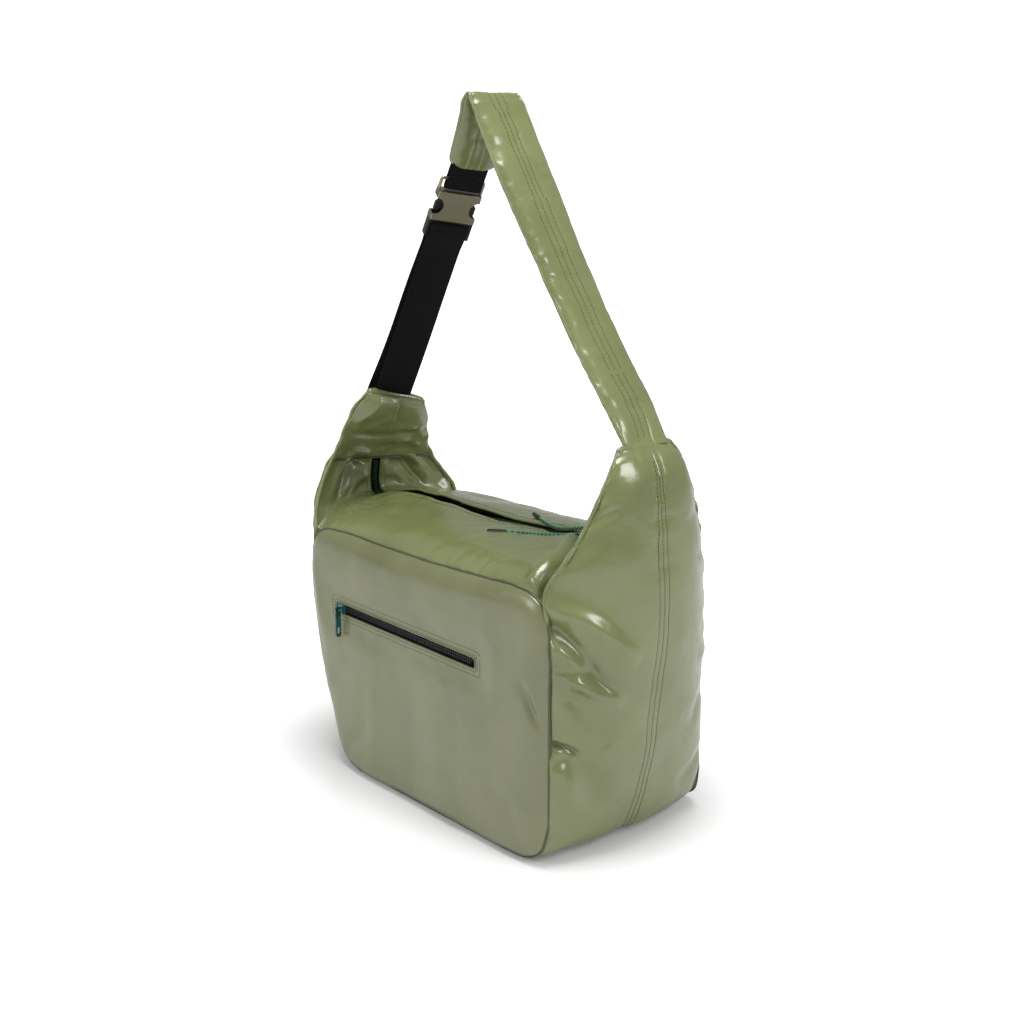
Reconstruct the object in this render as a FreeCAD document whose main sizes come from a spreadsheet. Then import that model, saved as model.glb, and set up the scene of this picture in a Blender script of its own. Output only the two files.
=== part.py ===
"""Crossbody purse: a soft padded bag on a side-release strap, in millimetres.

Frame: origin at the bottom centre of the bag, +X to the right seen from the front,
front faces -Y, +Z up.  Every size is a cell of the sheet "Sizes".
"""
import FreeCAD, Part
import math
import os

from FreeCAD import Placement, Rotation, Vector

SIZES = {
    # bag body
    "panel_width": 348,
    "panel_height": 245,
    "left_drop": 5,
    "bag_depth": 188,
    "panel_pad": 8,
    "edge_round": 3,
    "wall": 7,
    "sole_trim": 0.5,
    "side_bulge": 38.5,
    "foot_bulge": 22,
    "crown_right": 30,
    "crown_left": 8,
    "top_radius": 40,
    "foot_radius": 32,
    "slump_up": 110,
    "slump_in": 56,
    "lining_wall": 1.5,
    "lining_play": 0.4,
    "pipe_width": 2,
    "pipe_height": 3,
    # horns: the raised ends that carry the strap
    "horn_base": 238,
    "horn_skin": 7,
    "cap_seam": 300,
    "right_horn_top": 371,
    "left_horn_top": 357,
    # pockets
    "pocket_width": 236,
    "pocket_drop": 110,
    "pocket_gap": 5,
    "pocket_wall": 1.2,
    "slip_width": 280,
    "slip_height": 150,
    "slip_wall": 2.5,
    "slip_gap": 5,
    # zips
    "front_zip_length": 214,
    "front_zip_left": -127,
    "front_zip_level": 167,
    "front_tape_width": 6,
    "main_tape_width": 8.5,
    "main_zip_left": -196,
    "main_zip_right": 196,
    "main_slider_at": 124,
    "tape_thick": 1,
    "teeth_gap": 0.9,
    "teeth_reach": 2.6,
    "teeth_height": 2.4,
    "teeth_pitch": 3,
    "tooth_length": 1.6,
    "stop_length": 2.4,
    "slider_length": 12,
    "slider_width": 9.6,
    "slider_plate": 2,
    "slider_play": 0.4,
    "slider_web": 0.5,
    "puller_bail_height": 4.2,
    "puller_bail_span": 6,
    "cord_bail_height": 5.2,
    "cord_bail_span": 6.6,
    "bail_bar": 1.4,
    "puller_length": 31,
    "puller_width": 6,
    "puller_thick": 1.6,
    "puller_play": 0.25,
    # pull cords on the main zip
    "cord_width": 3.5,
    "tip_width": 4.4,
    "cord_play": 0.3,
    "tip_length": 20,
    # strap
    "strap_width": 58,
    "strap_thick": 12,
    "cover_wall": 2,
    "strap_top": 657,
    "strap_fold_x": -5,
    "strap_bow": 10,
    "swing_radius": 45,
    "web_radius": 34,
    "swing_play": 0.4,
    "fold_gap": 9.5,
    "web_width": 38,
    "web_thick": 1.8,
    "web_apart": 5,
    "tail_past": 26,
    "leg_twist": 20,
    "pad_end_at": 265,
    # side-release buckle
    "buckle_at": 208,
    "buckle_height": 30,
    "buckle_width": 44,
    "buckle_thick": 11,
    "shell_wall": 1.6,
    "notch_radius": 8.5,
    "male_height": 18,
    "bar_width": 4,
    "prong_thick": 4,
    "prong_width": 5,
    "prong_length": 22,
    "ring_bar": 3,
    "ring_height": 13,
    "ring_play": 0.4,
}

doc = FreeCAD.newDocument("crossbody_purse")
sheet = doc.addObject("Spreadsheet::Sheet", "Sizes")
for row, (alias, value) in enumerate(SIZES.items(), start=1):
    sheet.set("A%d" % row, alias)
    sheet.set("B%d" % row, str(value))
    sheet.setAlias("B%d" % row, alias)
doc.recompute()

NODES = []


def size(alias):
    return float(getattr(sheet, alias))


def keep(item, label):
    """Makes a document object one of the kept sub-parts."""
    item.Label = label
    NODES.append(item)
    return item


def feature(label, shape, placement=None):
    """A kept sub-part whose shape is computed here."""
    item = doc.addObject("Part::Feature", label)
    item.Shape = shape
    if placement:
        item.Placement = placement
    return keep(item, label)


def bind(item, **cells):
    for name, text in cells.items():
        item.setExpression(name.replace("__", "."), text)
    return item


# ---------------------------------------------------------------- outlines

DEPTH = size("bag_depth") / 2
HALF = size("panel_width") / 2
ZIP_GAP = size("main_tape_width") + size("teeth_gap") / 2


def swell(y):
    """How far the bag has swelled out at depth y: 0 at the panels, 1 in the middle."""
    return 1 - abs(y / DEPTH) ** 2.6


def outline(y):
    """Corners and radii of the bag's outline in X and Z at depth y, from bottom left, clockwise."""
    s = swell(y)
    top = size("panel_height")
    side = HALF + size("side_bulge") * s
    foot = HALF + size("foot_bulge") * s
    corners = [
        (-foot + size("slump_in"), 0),
        (-side, size("slump_up")),
        (-side, top - size("left_drop") + size("crown_left") * s),
        (side, top + size("crown_right") * s),
        (foot, 0),
    ]
    top_r = size("top_radius") * (1 - 0.4 * s)
    foot_r = size("foot_radius") * (1 + 0.9 * s)
    radii = [foot_r, 1.5 * foot_r, 0.7 * top_r, top_r, foot_r]
    return corners, radii


def inset(corners, radii, gap):
    """The same outline moved inwards by gap: each side moves along its own normal."""
    lines = []
    count = len(corners)
    for i in range(count):
        (ax, az), (bx, bz) = corners[i], corners[(i + 1) % count]
        length = math.hypot(bx - ax, bz - az)
        nx, nz = (bz - az) / length, -(bx - ax) / length
        lines.append((nx, nz, nx * ax + nz * az + gap))
    moved = []
    for i in range(count):
        ax, az, a = lines[i - 1]
        bx, bz, b = lines[i]
        det = ax * bz - az * bx
        moved.append(((a * bz - b * az) / det, (ax * b - bx * a) / det))
    return moved, [max(r - gap, 4) for r in radii]


def rounded_wire(corners, radii, y):
    """A closed wire in the plane Y = y: straight sides joined by tangent arcs."""
    pts = [Vector(x, y, z) for x, z in corners]
    count = len(pts)
    cuts = []
    for i, p in enumerate(pts):
        before = (pts[i - 1] - p).normalize()
        after = (pts[(i + 1) % count] - p).normalize()
        half = before.getAngle(after) / 2
        reach = radii[i] / math.tan(half)
        middle = (before + after).normalize()
        top = p + middle * (radii[i] / math.sin(half) - radii[i])
        cuts.append((p + before * reach, top, p + after * reach))
    edges = []
    for i, (start, top, end) in enumerate(cuts):
        edges.append(Part.Arc(start, top, end).toShape())
        edges.append(Part.LineSegment(end, cuts[(i + 1) % count][0]).toShape())
    return Part.Wire(edges)


def bag_wire(y, gap=0.0, at=None, drop=0.0):
    corners, radii = outline(y)
    corners = [(x, z - drop if z == 0 else z) for x, z in corners]
    if gap:
        corners, radii = inset(corners, radii, gap)
    return rounded_wire(corners, radii, y if at is None else at)


def bag_loft(gap, reach, drop=0.0):
    """The bag's swelled body, moved inwards by gap, between Y = -reach and reach.

    Its foot is lowered by drop, for the flat sole to be cut from.
    """
    shares = (-1, -0.8, -0.45, 0, 0.45, 0.8, 1)
    wires = [bag_wire(DEPTH * share, gap, reach * share, drop) for share in shares]
    return Part.makeLoft(wires, True, False)


def block(x0, x1, y0, y1, z0, z1):
    return Part.makeBox(x1 - x0, y1 - y0, z1 - z0, Vector(x0, y0, z0))


# ---------------------------------------------------------------- horns


def horn_rows(side):
    """Rows of (height, half width, edge X, middle X) up a horn; side is 1 right, -1 left."""
    base = size("horn_base")
    mid = HALF + size("side_bulge")
    if side > 0:
        rise = size("right_horn_top") - base
        shape = ((0, 0.985, 13, 0.5), (0.27, 0.9, -2, 1), (0.47, 0.75, -10, 2),
                 (0.67, 0.6, -15, 6), (0.82, 0.5, -16, 11), (1, 0.31, -13, 23))
    else:
        rise = size("left_horn_top") - base
        shape = ((0, 0.985, 8, 0.5), (0.2, 0.87, -8, 1), (0.34, 0.76, -10, 3),
                 (0.5, 0.65, -8, 9), (0.72, 0.54, -2, 20), (1, 0.4, 15, 42))
    return [(base + rise * up, DEPTH * wide, HALF - inward, mid - back)
            for up, wide, inward, back in shape]


def horn_loft(side, outer, inner):
    """A horn layer between two depths below its outer skin, as a loft of curved bands."""
    wires = []
    for z, w, edge, mid in horn_rows(side):
        skin = (outer, inner)
        ends = [edge - 0.4 * gap for gap in skin]
        mids = [mid - gap for gap in skin]
        front = [Vector(side * x, -w, z) for x in ends]
        back = [Vector(side * x, w, z) for x in ends]
        tops = [Vector(side * x, 0, z) for x in mids]
        wires.append(Part.Wire([
            Part.Arc(front[0], tops[0], back[0]).toShape(),
            Part.LineSegment(back[0], back[1]).toShape(),
            Part.Arc(back[1], tops[1], front[1]).toShape(),
            Part.LineSegment(front[1], front[0]).toShape(),
        ]))
    return Part.makeLoft(wires, True, True)


def lid_prism():
    """The plan of the top between the horns, raised from just under the top wall."""
    skin = 2 * size("horn_skin")
    right, left = horn_rows(1)[0], horn_rows(-1)[0]
    edges = []
    corner = Vector(-left[2] + 0.4 * skin, -DEPTH, 0)
    low = size("horn_base") - 3 * size("wall")
    points = [
        corner,
        Vector(right[2] - 0.4 * skin, -DEPTH, 0),
        Vector(right[3] - skin, 0, 0),
        Vector(right[2] - 0.4 * skin, DEPTH, 0),
        Vector(corner.x, DEPTH, 0),
        Vector(-left[3] + skin, 0, 0),
    ]
    edges.append(Part.LineSegment(points[0], points[1]).toShape())
    edges.append(Part.Arc(points[1], points[2], points[3]).toShape())
    edges.append(Part.LineSegment(points[3], points[4]).toShape())
    edges.append(Part.Arc(points[4], points[5], points[0]).toShape())
    face = Part.Face(Part.Wire(edges))
    prism = face.extrude(Vector(0, 0, 5 * size("wall") + size("crown_right") + low))
    prism.translate(Vector(0, 0, low))
    return prism


def largest(shape):
    """The biggest solid of a cut shape, without the slivers beside it."""
    return max(shape.Solids, key=lambda solid: solid.Volume)


def build_soft_body():
    """Gusset halves, top panels, horn caps, zip rises and lining."""
    reach = 2 * (HALF + size("side_bulge"))
    tall = 2 * size("strap_top")
    skin = size("horn_skin")
    under = block(-reach, reach, -reach, reach, -tall, 0)
    shell = bag_loft(0, DEPTH, size("sole_trim")).cut(bag_loft(size("wall"), DEPTH)).cut(under)
    outers = [horn_loft(side, 0, skin) for side in (1, -1)]
    inners = [horn_loft(side, skin, 2 * skin) for side in (1, -1)]
    lid = lid_prism()
    side_wall = largest(shell.cut(lid).fuse(outers).cut(inners[0]).cut(inners[1]))
    front_half = block(-reach, reach, -DEPTH, 0, 0, tall)
    back_half = block(-reach, reach, 0, DEPTH, 0, tall)
    feature("gusset_front_half", side_wall.common(front_half))
    feature("gusset_back_half", side_wall.common(back_half))

    below_cap = block(-reach, reach, -DEPTH, DEPTH, 0, size("cap_seam"))
    rises = [horn.common(below_cap) for horn in inners]
    top = largest(shell.common(lid).cut(outers).fuse(rises))
    front_side = block(-reach, reach, -DEPTH, -ZIP_GAP, 0, tall)
    back_side = block(-reach, reach, ZIP_GAP, DEPTH, 0, tall)
    feature("top_front_panel", largest(top.common(front_side)))
    feature("top_back_panel", largest(top.common(back_side)))

    above_cap = block(-reach, reach, -DEPTH, DEPTH, size("cap_seam"), tall)
    teeth = size("teeth_reach") + size("teeth_gap") / 2
    strip = block(-reach, reach, -ZIP_GAP, ZIP_GAP, 0, tall)
    core = block(-reach, reach, -teeth, teeth, 0, tall)
    for name, horn, rise in (("right", inners[0], rises[0]), ("left", inners[1], rises[1])):
        feature(name + "_horn_cap", horn.common(above_cap))
        feature(name + "_rise_tapes", rise.common(strip).cut(core))
        feature(name + "_rise_teeth", rise.common(core))

    wall = size("wall")
    thin = size("lining_wall")
    pocket_room = size("pocket_gap") + 2 * size("pocket_wall") + size("lining_play")
    room = DEPTH - pocket_room
    play = size("lining_play")
    skin_loft = bag_loft(wall + play, room)
    lining = skin_loft.cut(bag_loft(wall + play + thin, room - thin)).cut(strip_room())
    lining = lining.cut(inners).cut(inside_top()).cut(side_wall)
    feature("lining", largest(lining))


def strip_room():
    """Clear room through the top for the main zip."""
    reach = HALF + size("side_bulge")
    return block(-reach, reach, -ZIP_GAP, ZIP_GAP, size("horn_base") - 12, size("cap_seam"))


def inside_top():
    """Leaves the lining open under the top, along the whole zip."""
    reach = HALF - 2 * size("wall")
    return block(-reach, reach, -2 * ZIP_GAP, 2 * ZIP_GAP, size("horn_base") - 12, size("cap_seam"))


# ---------------------------------------------------------------- panels and pockets


def panel_pad(label, side, window):
    """A padded panel: the bag's end outline, panel_pad thick, with a rounded outer edge."""
    wire = bag_wire(side * DEPTH)
    solid = Part.Face(wire).extrude(Vector(0, side * size("panel_pad"), 0))
    face_y = side * (DEPTH + size("panel_pad"))
    rim = [e for e in solid.Edges if abs(e.BoundBox.YMin - face_y) + abs(e.BoundBox.YMax - face_y) < 0.01]
    solid = solid.makeFillet(size("edge_round"), rim)
    if window:
        solid = solid.cut(window)
    return feature(label, solid)


def piping(label, side):
    """The bound seam around a panel: a ring outside its edge."""
    wide = size("pipe_width")
    corners, radii = outline(DEPTH)
    outer, outer_r = inset(corners, radii, -wide)
    ring = Part.Face(rounded_wire(outer, outer_r, side * DEPTH))
    ring = ring.extrude(Vector(0, side * size("pipe_height"), 0))
    hole = Part.Face(bag_wire(side * DEPTH)).extrude(Vector(0, side * size("pipe_height"), 0))
    return feature(label, ring.cut(hole))


def front_window():
    """The slot in the front panel that the pocket zip fills."""
    half = size("front_tape_width") + size("teeth_gap") / 2
    x0 = size("front_zip_left")
    z = size("front_zip_level")
    return block(x0, x0 + size("front_zip_length"), -DEPTH - 2 * size("panel_pad"),
                 -DEPTH + 2 * size("pocket_wall"), z - half, z + half)


def build_panels():
    panel_pad("front_panel", -1, front_window())
    panel_pad("back_panel", 1, None)
    piping("front_piping", -1)
    piping("back_piping", 1)

    wall, gap = size("pocket_wall"), size("pocket_gap")
    wide, drop = size("pocket_width"), size("pocket_drop")
    middle = size("front_zip_left") + size("front_zip_length") / 2
    top = size("front_zip_level") + 2 * size("front_tape_width")
    back = -DEPTH + gap + 2 * wall
    bag = block(middle - wide / 2, middle + wide / 2, -DEPTH, back, top - drop, top)
    room = block(middle - wide / 2 + wall, middle + wide / 2 - wall, -DEPTH + wall, back - wall,
                 top - drop + wall, top - wall)
    feature("front_pocket_bag", bag.cut(room).cut(front_window()))

    face = DEPTH + size("panel_pad")
    width, tall = size("slip_width"), size("slip_height")
    low = size("foot_radius")
    thick, play = size("slip_wall"), size("slip_gap")
    sleeve = block(-width / 2, width / 2, face, face + play + thick, low, tall)
    hollow = block(-width / 2 + thick, width / 2 - thick, face, face + play, low + thick, tall)
    feature("back_slip_pocket", sleeve.cut(hollow))


# ---------------------------------------------------------------- zips, in their own frame
# Local frame of a zip: X along the teeth, Y across, Z out of the fabric; Z = 0 is the teeth's top.

FRONT_ZIP = Placement(
    Vector(size("front_zip_left"), -DEPTH - size("panel_pad") + 0.6, size("front_zip_level")),
    Rotation(Vector(1, 0, 0), 90))
TOP_RISE = size("crown_right") - size("crown_left") + size("left_drop")
TOP_SLOPE = math.degrees(math.atan2(TOP_RISE, 2 * (HALF + size("side_bulge"))))
TOP_MIDDLE = size("panel_height") + size("crown_right") - TOP_RISE / 2


def top_level(x):
    """Height of the top's ridge above x."""
    return TOP_MIDDLE + x * math.tan(math.radians(TOP_SLOPE))


MAIN_ZIP = Placement(Vector(0, 0, top_level(0)), Rotation(Vector(0, 1, 0), -TOP_SLOPE))


def box_at(name, placement, **cells):
    """A Part::Box bound to the sheet; cells give length, width, height and its local corner."""
    item = doc.addObject("Part::Box", name)
    bind(item, Length=cells["length"], Width=cells["width"], Height=cells["height"])
    item.Placement = placement.multiply(Placement(Vector(*cells["corner"]), Rotation()))
    return item


def zip_side(prefix, placement, start, length, tape_cell, side):
    """One tape and its row of teeth on side +1 or -1 of the zip line."""
    half = size("teeth_gap") / 2
    tape_w, thick, tall = size(tape_cell), size("tape_thick"), size("teeth_height")
    label = {1: "upper", -1: "lower"} if prefix == "front_zip" else {1: "back", -1: "front"}
    near = half if side > 0 else -half - tape_w
    tape = box_at(prefix + "_tape_" + label[side], placement, length=str(length),
                  width="Sizes." + tape_cell, height="Sizes.tape_thick",
                  corner=(start, near, -tall - thick))
    keep(tape, prefix + "_tape_" + label[side])
    reach = size("teeth_reach")
    row = half if side > 0 else -half - reach
    pitch, tooth = size("teeth_pitch"), size("tooth_length")
    first = start + 2 * size("stop_length") + (pitch / 2 if side > 0 else 0)
    count = int((length - 4 * size("stop_length")) / pitch)
    teeth = [Part.makeBox(tooth, reach, tall, Vector(first + i * pitch, row, -tall))
             for i in range(count)]
    feature(prefix + "_teeth_" + label[side], Part.makeCompound(teeth), placement)


def zip_stops(prefix, placement, start, length):
    """The two end stops, each two crimped blocks beside the zip line."""
    half = size("teeth_gap") / 2
    reach, tall, stop = size("teeth_reach"), size("teeth_height"), size("stop_length")
    blocks = [Part.makeBox(stop, reach, tall, Vector(x, y, -tall))
              for x in (start, start + length - stop) for y in (half, -half - reach)]
    feature(prefix + "_stops", Part.makeCompound(blocks), placement)


def slider(prefix, placement, at, lead):
    """The slider body: two plates joined by a thin web at its leading end, and a bail above."""
    long, wide, plate = size("slider_length"), size("slider_width"), size("slider_plate")
    play, web = size("slider_play"), size("slider_web")
    low = -size("teeth_height") - size("tape_thick") - play
    top = Part.makeBox(long, wide, plate, Vector(at, -wide / 2, play))
    top = top.makeFillet(plate / 2, [e for e in top.Edges if abs(e.tangentAt(e.FirstParameter).z) > 0.9])
    base = Part.makeBox(long, wide, plate / 2, Vector(at, -wide / 2, low - plate / 2))
    post_x = at + long - 3 if lead > 0 else at
    post = Part.makeBox(3, web, play - low, Vector(post_x, -web / 2, low))
    feature(prefix + "_slider", top.fuse([base, post]), placement)


def bail(prefix, placement, at, kind, turn):
    """An arch of round wire on the slider's top plate, turned about the plate's normal."""
    bar, tall = size("bail_bar"), size(kind + "_bail_height")
    high = size("slider_play") + size("slider_plate")
    middle = at + size("slider_length") / 2
    half = size(kind + "_bail_span") / 2
    path = Part.Wire([
        Part.LineSegment(Vector(-half, 0, 0), Vector(-half, 0, tall - half)).toShape(),
        Part.Arc(Vector(-half, 0, tall - half), Vector(0, 0, tall), Vector(half, 0, tall - half)).toShape(),
        Part.LineSegment(Vector(half, 0, tall - half), Vector(half, 0, 0)).toShape(),
    ])
    profile = Part.Wire([Part.makeCircle(bar / 2, Vector(-half, 0, 0), Vector(0, 0, 1))])
    arch = path.makePipeShell([profile], True, False)
    local = Placement(Vector(middle, 0, high), Rotation(Vector(0, 0, 1), turn))
    feature(prefix + "_bail", arch, placement.multiply(local))
    return placement.multiply(Placement(Vector(middle, 0, high + tall), Rotation())).Base


def build_zips():
    start, length = 0, size("front_zip_length")
    for side in (1, -1):
        zip_side("front_zip", FRONT_ZIP, start, length, "front_tape_width", side)
    zip_stops("front_zip", FRONT_ZIP, start, length)
    slider("front_zip", FRONT_ZIP, 2 * size("stop_length"), -1)
    left, right = size("main_zip_left"), size("main_zip_right")
    for side in (1, -1):
        zip_side("main_zip", MAIN_ZIP, left, right - left, "main_tape_width", side)
    zip_stops("main_zip", MAIN_ZIP, left, right - left)
    slider("main_zip", MAIN_ZIP, size("main_slider_at"), 1)


def build_puller():
    """The front zip's long flat puller hangs from a bail whose bar lies along X."""
    at = 2 * size("stop_length")
    top = bail("front_zip", FRONT_ZIP, at, "puller", 0)
    wide, long = size("puller_width"), size("puller_length")
    hole = size("bail_bar") / 2 + size("puller_play")
    body = doc.addObject("PartDesign::Body", "puller_body")
    sketch = body.newObject("Sketcher::SketchObject", "puller_outline")
    sketch.AttachmentSupport = [(origin_plane(body, "YZ_Plane"), "")]
    sketch.MapMode = "FlatFace"
    radius = wide / 2
    drop = long - wide
    sketch.addGeometry([
        Part.LineSegment(Vector(-radius, 0, 0), Vector(-radius, -drop, 0)),
        Part.LineSegment(Vector(radius, -drop, 0), Vector(radius, 0, 0)),
        Part.ArcOfCircle(Part.Circle(Vector(0, 0, 0), Vector(0, 0, 1), radius), 0, math.pi),
        Part.ArcOfCircle(Part.Circle(Vector(0, -drop, 0), Vector(0, 0, 1), radius), math.pi, 2 * math.pi),
        Part.Circle(Vector(0, 0, 0), Vector(0, 0, 1), hole),
    ])
    pad = body.newObject("PartDesign::Pad", "puller_plate")
    pad.Profile = sketch
    pad.Midplane = True
    pad.setExpression("Length", "Sizes.puller_thick")
    slot_sketch = body.newObject("Sketcher::SketchObject", "puller_slot_outline")
    slot_sketch.AttachmentSupport = [(origin_plane(body, "YZ_Plane"), "")]
    slot_sketch.MapMode = "FlatFace"
    half = 0.22 * wide
    low, high = -drop + half, -drop + 6
    slot_sketch.addGeometry([
        Part.LineSegment(Vector(-half, low, 0), Vector(-half, high, 0)),
        Part.LineSegment(Vector(half, high, 0), Vector(half, low, 0)),
        Part.ArcOfCircle(Part.Circle(Vector(0, high, 0), Vector(0, 0, 1), half), 0, math.pi),
        Part.ArcOfCircle(Part.Circle(Vector(0, low, 0), Vector(0, 0, 1), half), math.pi, 2 * math.pi),
    ])
    slot = body.newObject("PartDesign::Pocket", "puller_slot")
    slot.Profile = slot_sketch
    slot.Midplane = True
    slot.Type = 1
    body.Placement = Placement(top, Rotation())
    keep(body, "front_zip_puller")


def origin_plane(body, role):
    return [item for item in body.Origin.OriginFeatures if item.Role == role][0]


# ---------------------------------------------------------------- pull cords

LONG_CORD = [(129.3, 0, 274.4), (120, 0, 274.4), (106.5, -12, 272.9), (92, -19.2, 271),
             (77.5, -24.4, 269.6), (62, -27.6, 268.2), (47.5, -32.8, 266.8)]
SHORT_CORD = [(129.3, 0, 280.2), (119.5, 0, 280.2), (106, -1.6, 276.6), (92, -2.4, 273.2),
              (79, -0.5, 271.4), (65, 4, 270.4), (52, 9.5, 270), (41, 14.6, 269.6)]


def cord(label, points):
    """A limp cord: straight runs joined by tangent arcs as large as the runs allow."""
    pts = [Vector(*p) for p in points]
    edges = []
    last = pts[0]
    radii = []
    for before, corner, after in zip(pts, pts[1:], pts[2:]):
        back = before - corner
        ahead = after - corner
        half = back.getAngle(ahead) / 2
        reach = 0.45 * min(back.Length, ahead.Length)
        radius = reach * math.tan(half)
        radii.append(round(radius, 1))
        back.normalize()
        ahead.normalize()
        start, end = corner + back * reach, corner + ahead * reach
        middle = corner + (back + ahead).normalize() * (radius / math.sin(half) - radius)
        edges.append(Part.LineSegment(last, start).toShape())
        edges.append(Part.Arc(start, middle, end).toShape())
        last = end
    edges.append(Part.LineSegment(last, pts[-1]).toShape())
    path = Part.Wire(edges)
    profile = Part.Wire([Part.makeCircle(size("cord_width") / 2, pts[0], pts[1] - pts[0])])
    tube = path.makePipeShell([profile], True, False)
    expected = math.pi * (size("cord_width") / 2) ** 2 * path.Length
    print(label, "length", round(path.Length, 1), "radii", radii,
          "volume ratio", round(tube.Volume / expected, 4))
    feature(label, tube)
    return pts[-1], (pts[-1] - pts[-2]).normalize()


def cord_tip(label, end, direction):
    """The moulded tip on a cord's end."""
    radius = size("tip_width") / 2
    tip = Part.makeCylinder(radius, size("tip_length"), end, direction)
    rim = [e for e in tip.Edges if e.Curve.TypeId == "Part::GeomCircle"]
    feature(label, tip.makeFillet(radius / 3, rim))


def build_cords():
    """Two tails of one cord that is looped round the bar of the main slider's bail."""
    bar = bail("main_zip", MAIN_ZIP, size("main_slider_at"), "cord", 90)
    print("bar of the cord bail", bar)
    thick = size("cord_width") / 2
    turn = size("bail_bar") / 2 + size("cord_play") + thick
    low, high = Vector(*LONG_CORD[0]), Vector(*SHORT_CORD[0])
    middle = (low + high) * 0.5
    print("loop radius wanted", turn, "made", (high - low).Length / 2)
    loop = Part.makeTorus((high - low).Length / 2, thick, middle, Vector(0, 1, 0))
    reach = 4 * turn
    outside = block(middle.x, middle.x + reach, -reach, reach, middle.z - reach, middle.z + reach)
    feature("pull_cord_loop", loop.common(outside))
    for name, points in (("long", LONG_CORD), ("short", SHORT_CORD)):
        end, direction = cord("pull_cord_" + name, points)
        cord_tip("cord_tip_" + name, end, direction)


# ---------------------------------------------------------------- strap

SEAM = Vector(188, 0, size("right_horn_top"))
FOOT = Vector(-169, 0, size("left_horn_top") - 1)
FOLD = Vector(size("strap_fold_x"), 0, size("strap_top"))
LEG_DIR = (FOLD - FOOT).normalize()


def swing_cylinder(radius):
    """A drum about the line through both horn tops, on which the strap swings."""
    axis = SEAM - FOOT
    start = FOOT - axis * 0.3
    return Part.makeCylinder(radius, axis.Length * 1.6, start, axis)


def long_leg(pad):
    """The padded leg, an arched slab from the right horn up to the fold; pad insets its section."""
    half = size("strap_thick") / 2 - pad
    wide = size("strap_width") - 2 * pad
    top = FOLD - Vector(0, 0, size("strap_thick") / 2)
    chord = top - SEAM
    normal = Vector(-chord.z, 0, chord.x).normalize() * -1
    middle = SEAM + chord * 0.5 - normal * size("strap_bow")
    arcs = []
    for offset in (half, -half):
        shift = normal * offset
        arcs.append([SEAM + shift, middle + shift, top + shift])
    upper, lower = arcs
    face = Part.Face(Part.Wire([
        Part.Arc(*upper).toShape(),
        Part.LineSegment(upper[2], lower[2]).toShape(),
        Part.Arc(lower[2], lower[1], lower[0]).toShape(),
        Part.LineSegment(lower[0], upper[0]).toShape(),
    ]))
    face.translate(Vector(0, -wide / 2, 0))
    return face.extrude(Vector(0, wide, 0))


def leg_axis():
    """The centre line of the padded leg, as one arc."""
    half = size("strap_thick") / 2
    top = FOLD - Vector(0, 0, half)
    chord = top - SEAM
    normal = Vector(chord.z, 0, -chord.x).normalize()
    middle = SEAM + chord * 0.5 - normal * size("strap_bow")
    return Part.Arc(SEAM, middle, top)


def bend_point():
    """Where the padded leg bends when the buckle is open: level with the buckle, square to its leg."""
    centre = FOOT + LEG_DIR * (size("buckle_at") + size("buckle_height") / 2)
    across = Vector(LEG_DIR.z, 0, -LEG_DIR.x)
    line = Part.LineSegment(centre, centre + across * size("strap_top")).toShape()
    curve = leg_axis()
    point = line.distToShape(curve.toShape())[1][0][0]
    return point, curve.tangent(curve.parameter(point))[0]


def half_space(point, direction):
    """A big block on the side of a plane that direction points to."""
    side = 2 * size("strap_top")
    box = Part.makeBox(side, side, side, Vector(-side / 2, -side / 2, 0))
    box.Placement = Placement(point, Rotation(Vector(0, 0, 1), direction))
    return box


def build_padded_leg():
    """Stub on the horn, lower run, upper run with its wadding."""
    bend, along = bend_point()
    if along.z < 0:
        along = along * -1
    leg = long_leg(0)
    radius = size("swing_radius")
    above_horn = half_space(Vector(0, 0, SEAM.z), Vector(0, 0, 1))
    feature("strap_stub", leg.common(swing_cylinder(radius)).common(above_horn))
    lower = leg.cut(swing_cylinder(radius + size("swing_play")))
    lower = lower.common(half_space(bend - along * size("fold_gap"), along * -1)).common(above_horn)
    feature("strap_lower_pad", lower)
    half, wide = size("strap_thick") / 2, size("strap_width")
    upper = leg.common(half_space(bend, along))
    roll = Part.makeCylinder(half, wide, bend - Vector(0, wide / 2, 0), Vector(0, 1, 0))
    wall = size("cover_wall")
    core = long_leg(wall).common(half_space(bend, along))
    end = FOLD - Vector(-wall, 0, 0)
    core = core.common(half_space(end, Vector(1, 0, 0)))
    feature("strap_wadding", core)
    feature("strap_cover", upper.fuse(roll).cut(core))
    print("bend point", bend)


def leg_frame():
    """The buckle leg's own frame: X across the webbing, Z up the leg, -Y out of its front."""
    twist = math.radians(size("leg_twist"))
    side = Vector(0, 1, 0)
    across = side * math.cos(twist) - LEG_DIR.cross(side) * math.sin(twist)
    return Placement(FOOT, Rotation(across, LEG_DIR.cross(across), LEG_DIR, "ZXY"))


LEG = leg_frame()


def strip(low, high, near, far):
    """A length of webbing between two heights up the leg and two depths."""
    half = size("web_width") / 2
    return block(-half, half, near, far, low, high)


def wrap(at, bar, thick, down):
    """Webbing turned round a bar: half a ring above (down=False) or below it."""
    wide = size("web_width")
    start, way = Vector(-wide / 2, 0, at), Vector(1, 0, 0)
    ring = Part.makeCylinder(bar + thick, wide, start, way).cut(Part.makeCylinder(bar, wide, start, way))
    reach = 2 * (bar + thick)
    low = at - reach if down else at
    return ring.common(block(-wide, wide, -reach, reach, low, low + reach))


def to_leg(shape):
    placed = shape.copy()
    placed.Placement = LEG.multiply(placed.Placement)
    return placed


def male_bar_at():
    return size("buckle_at") - size("male_height") + size("bar_width")


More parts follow.
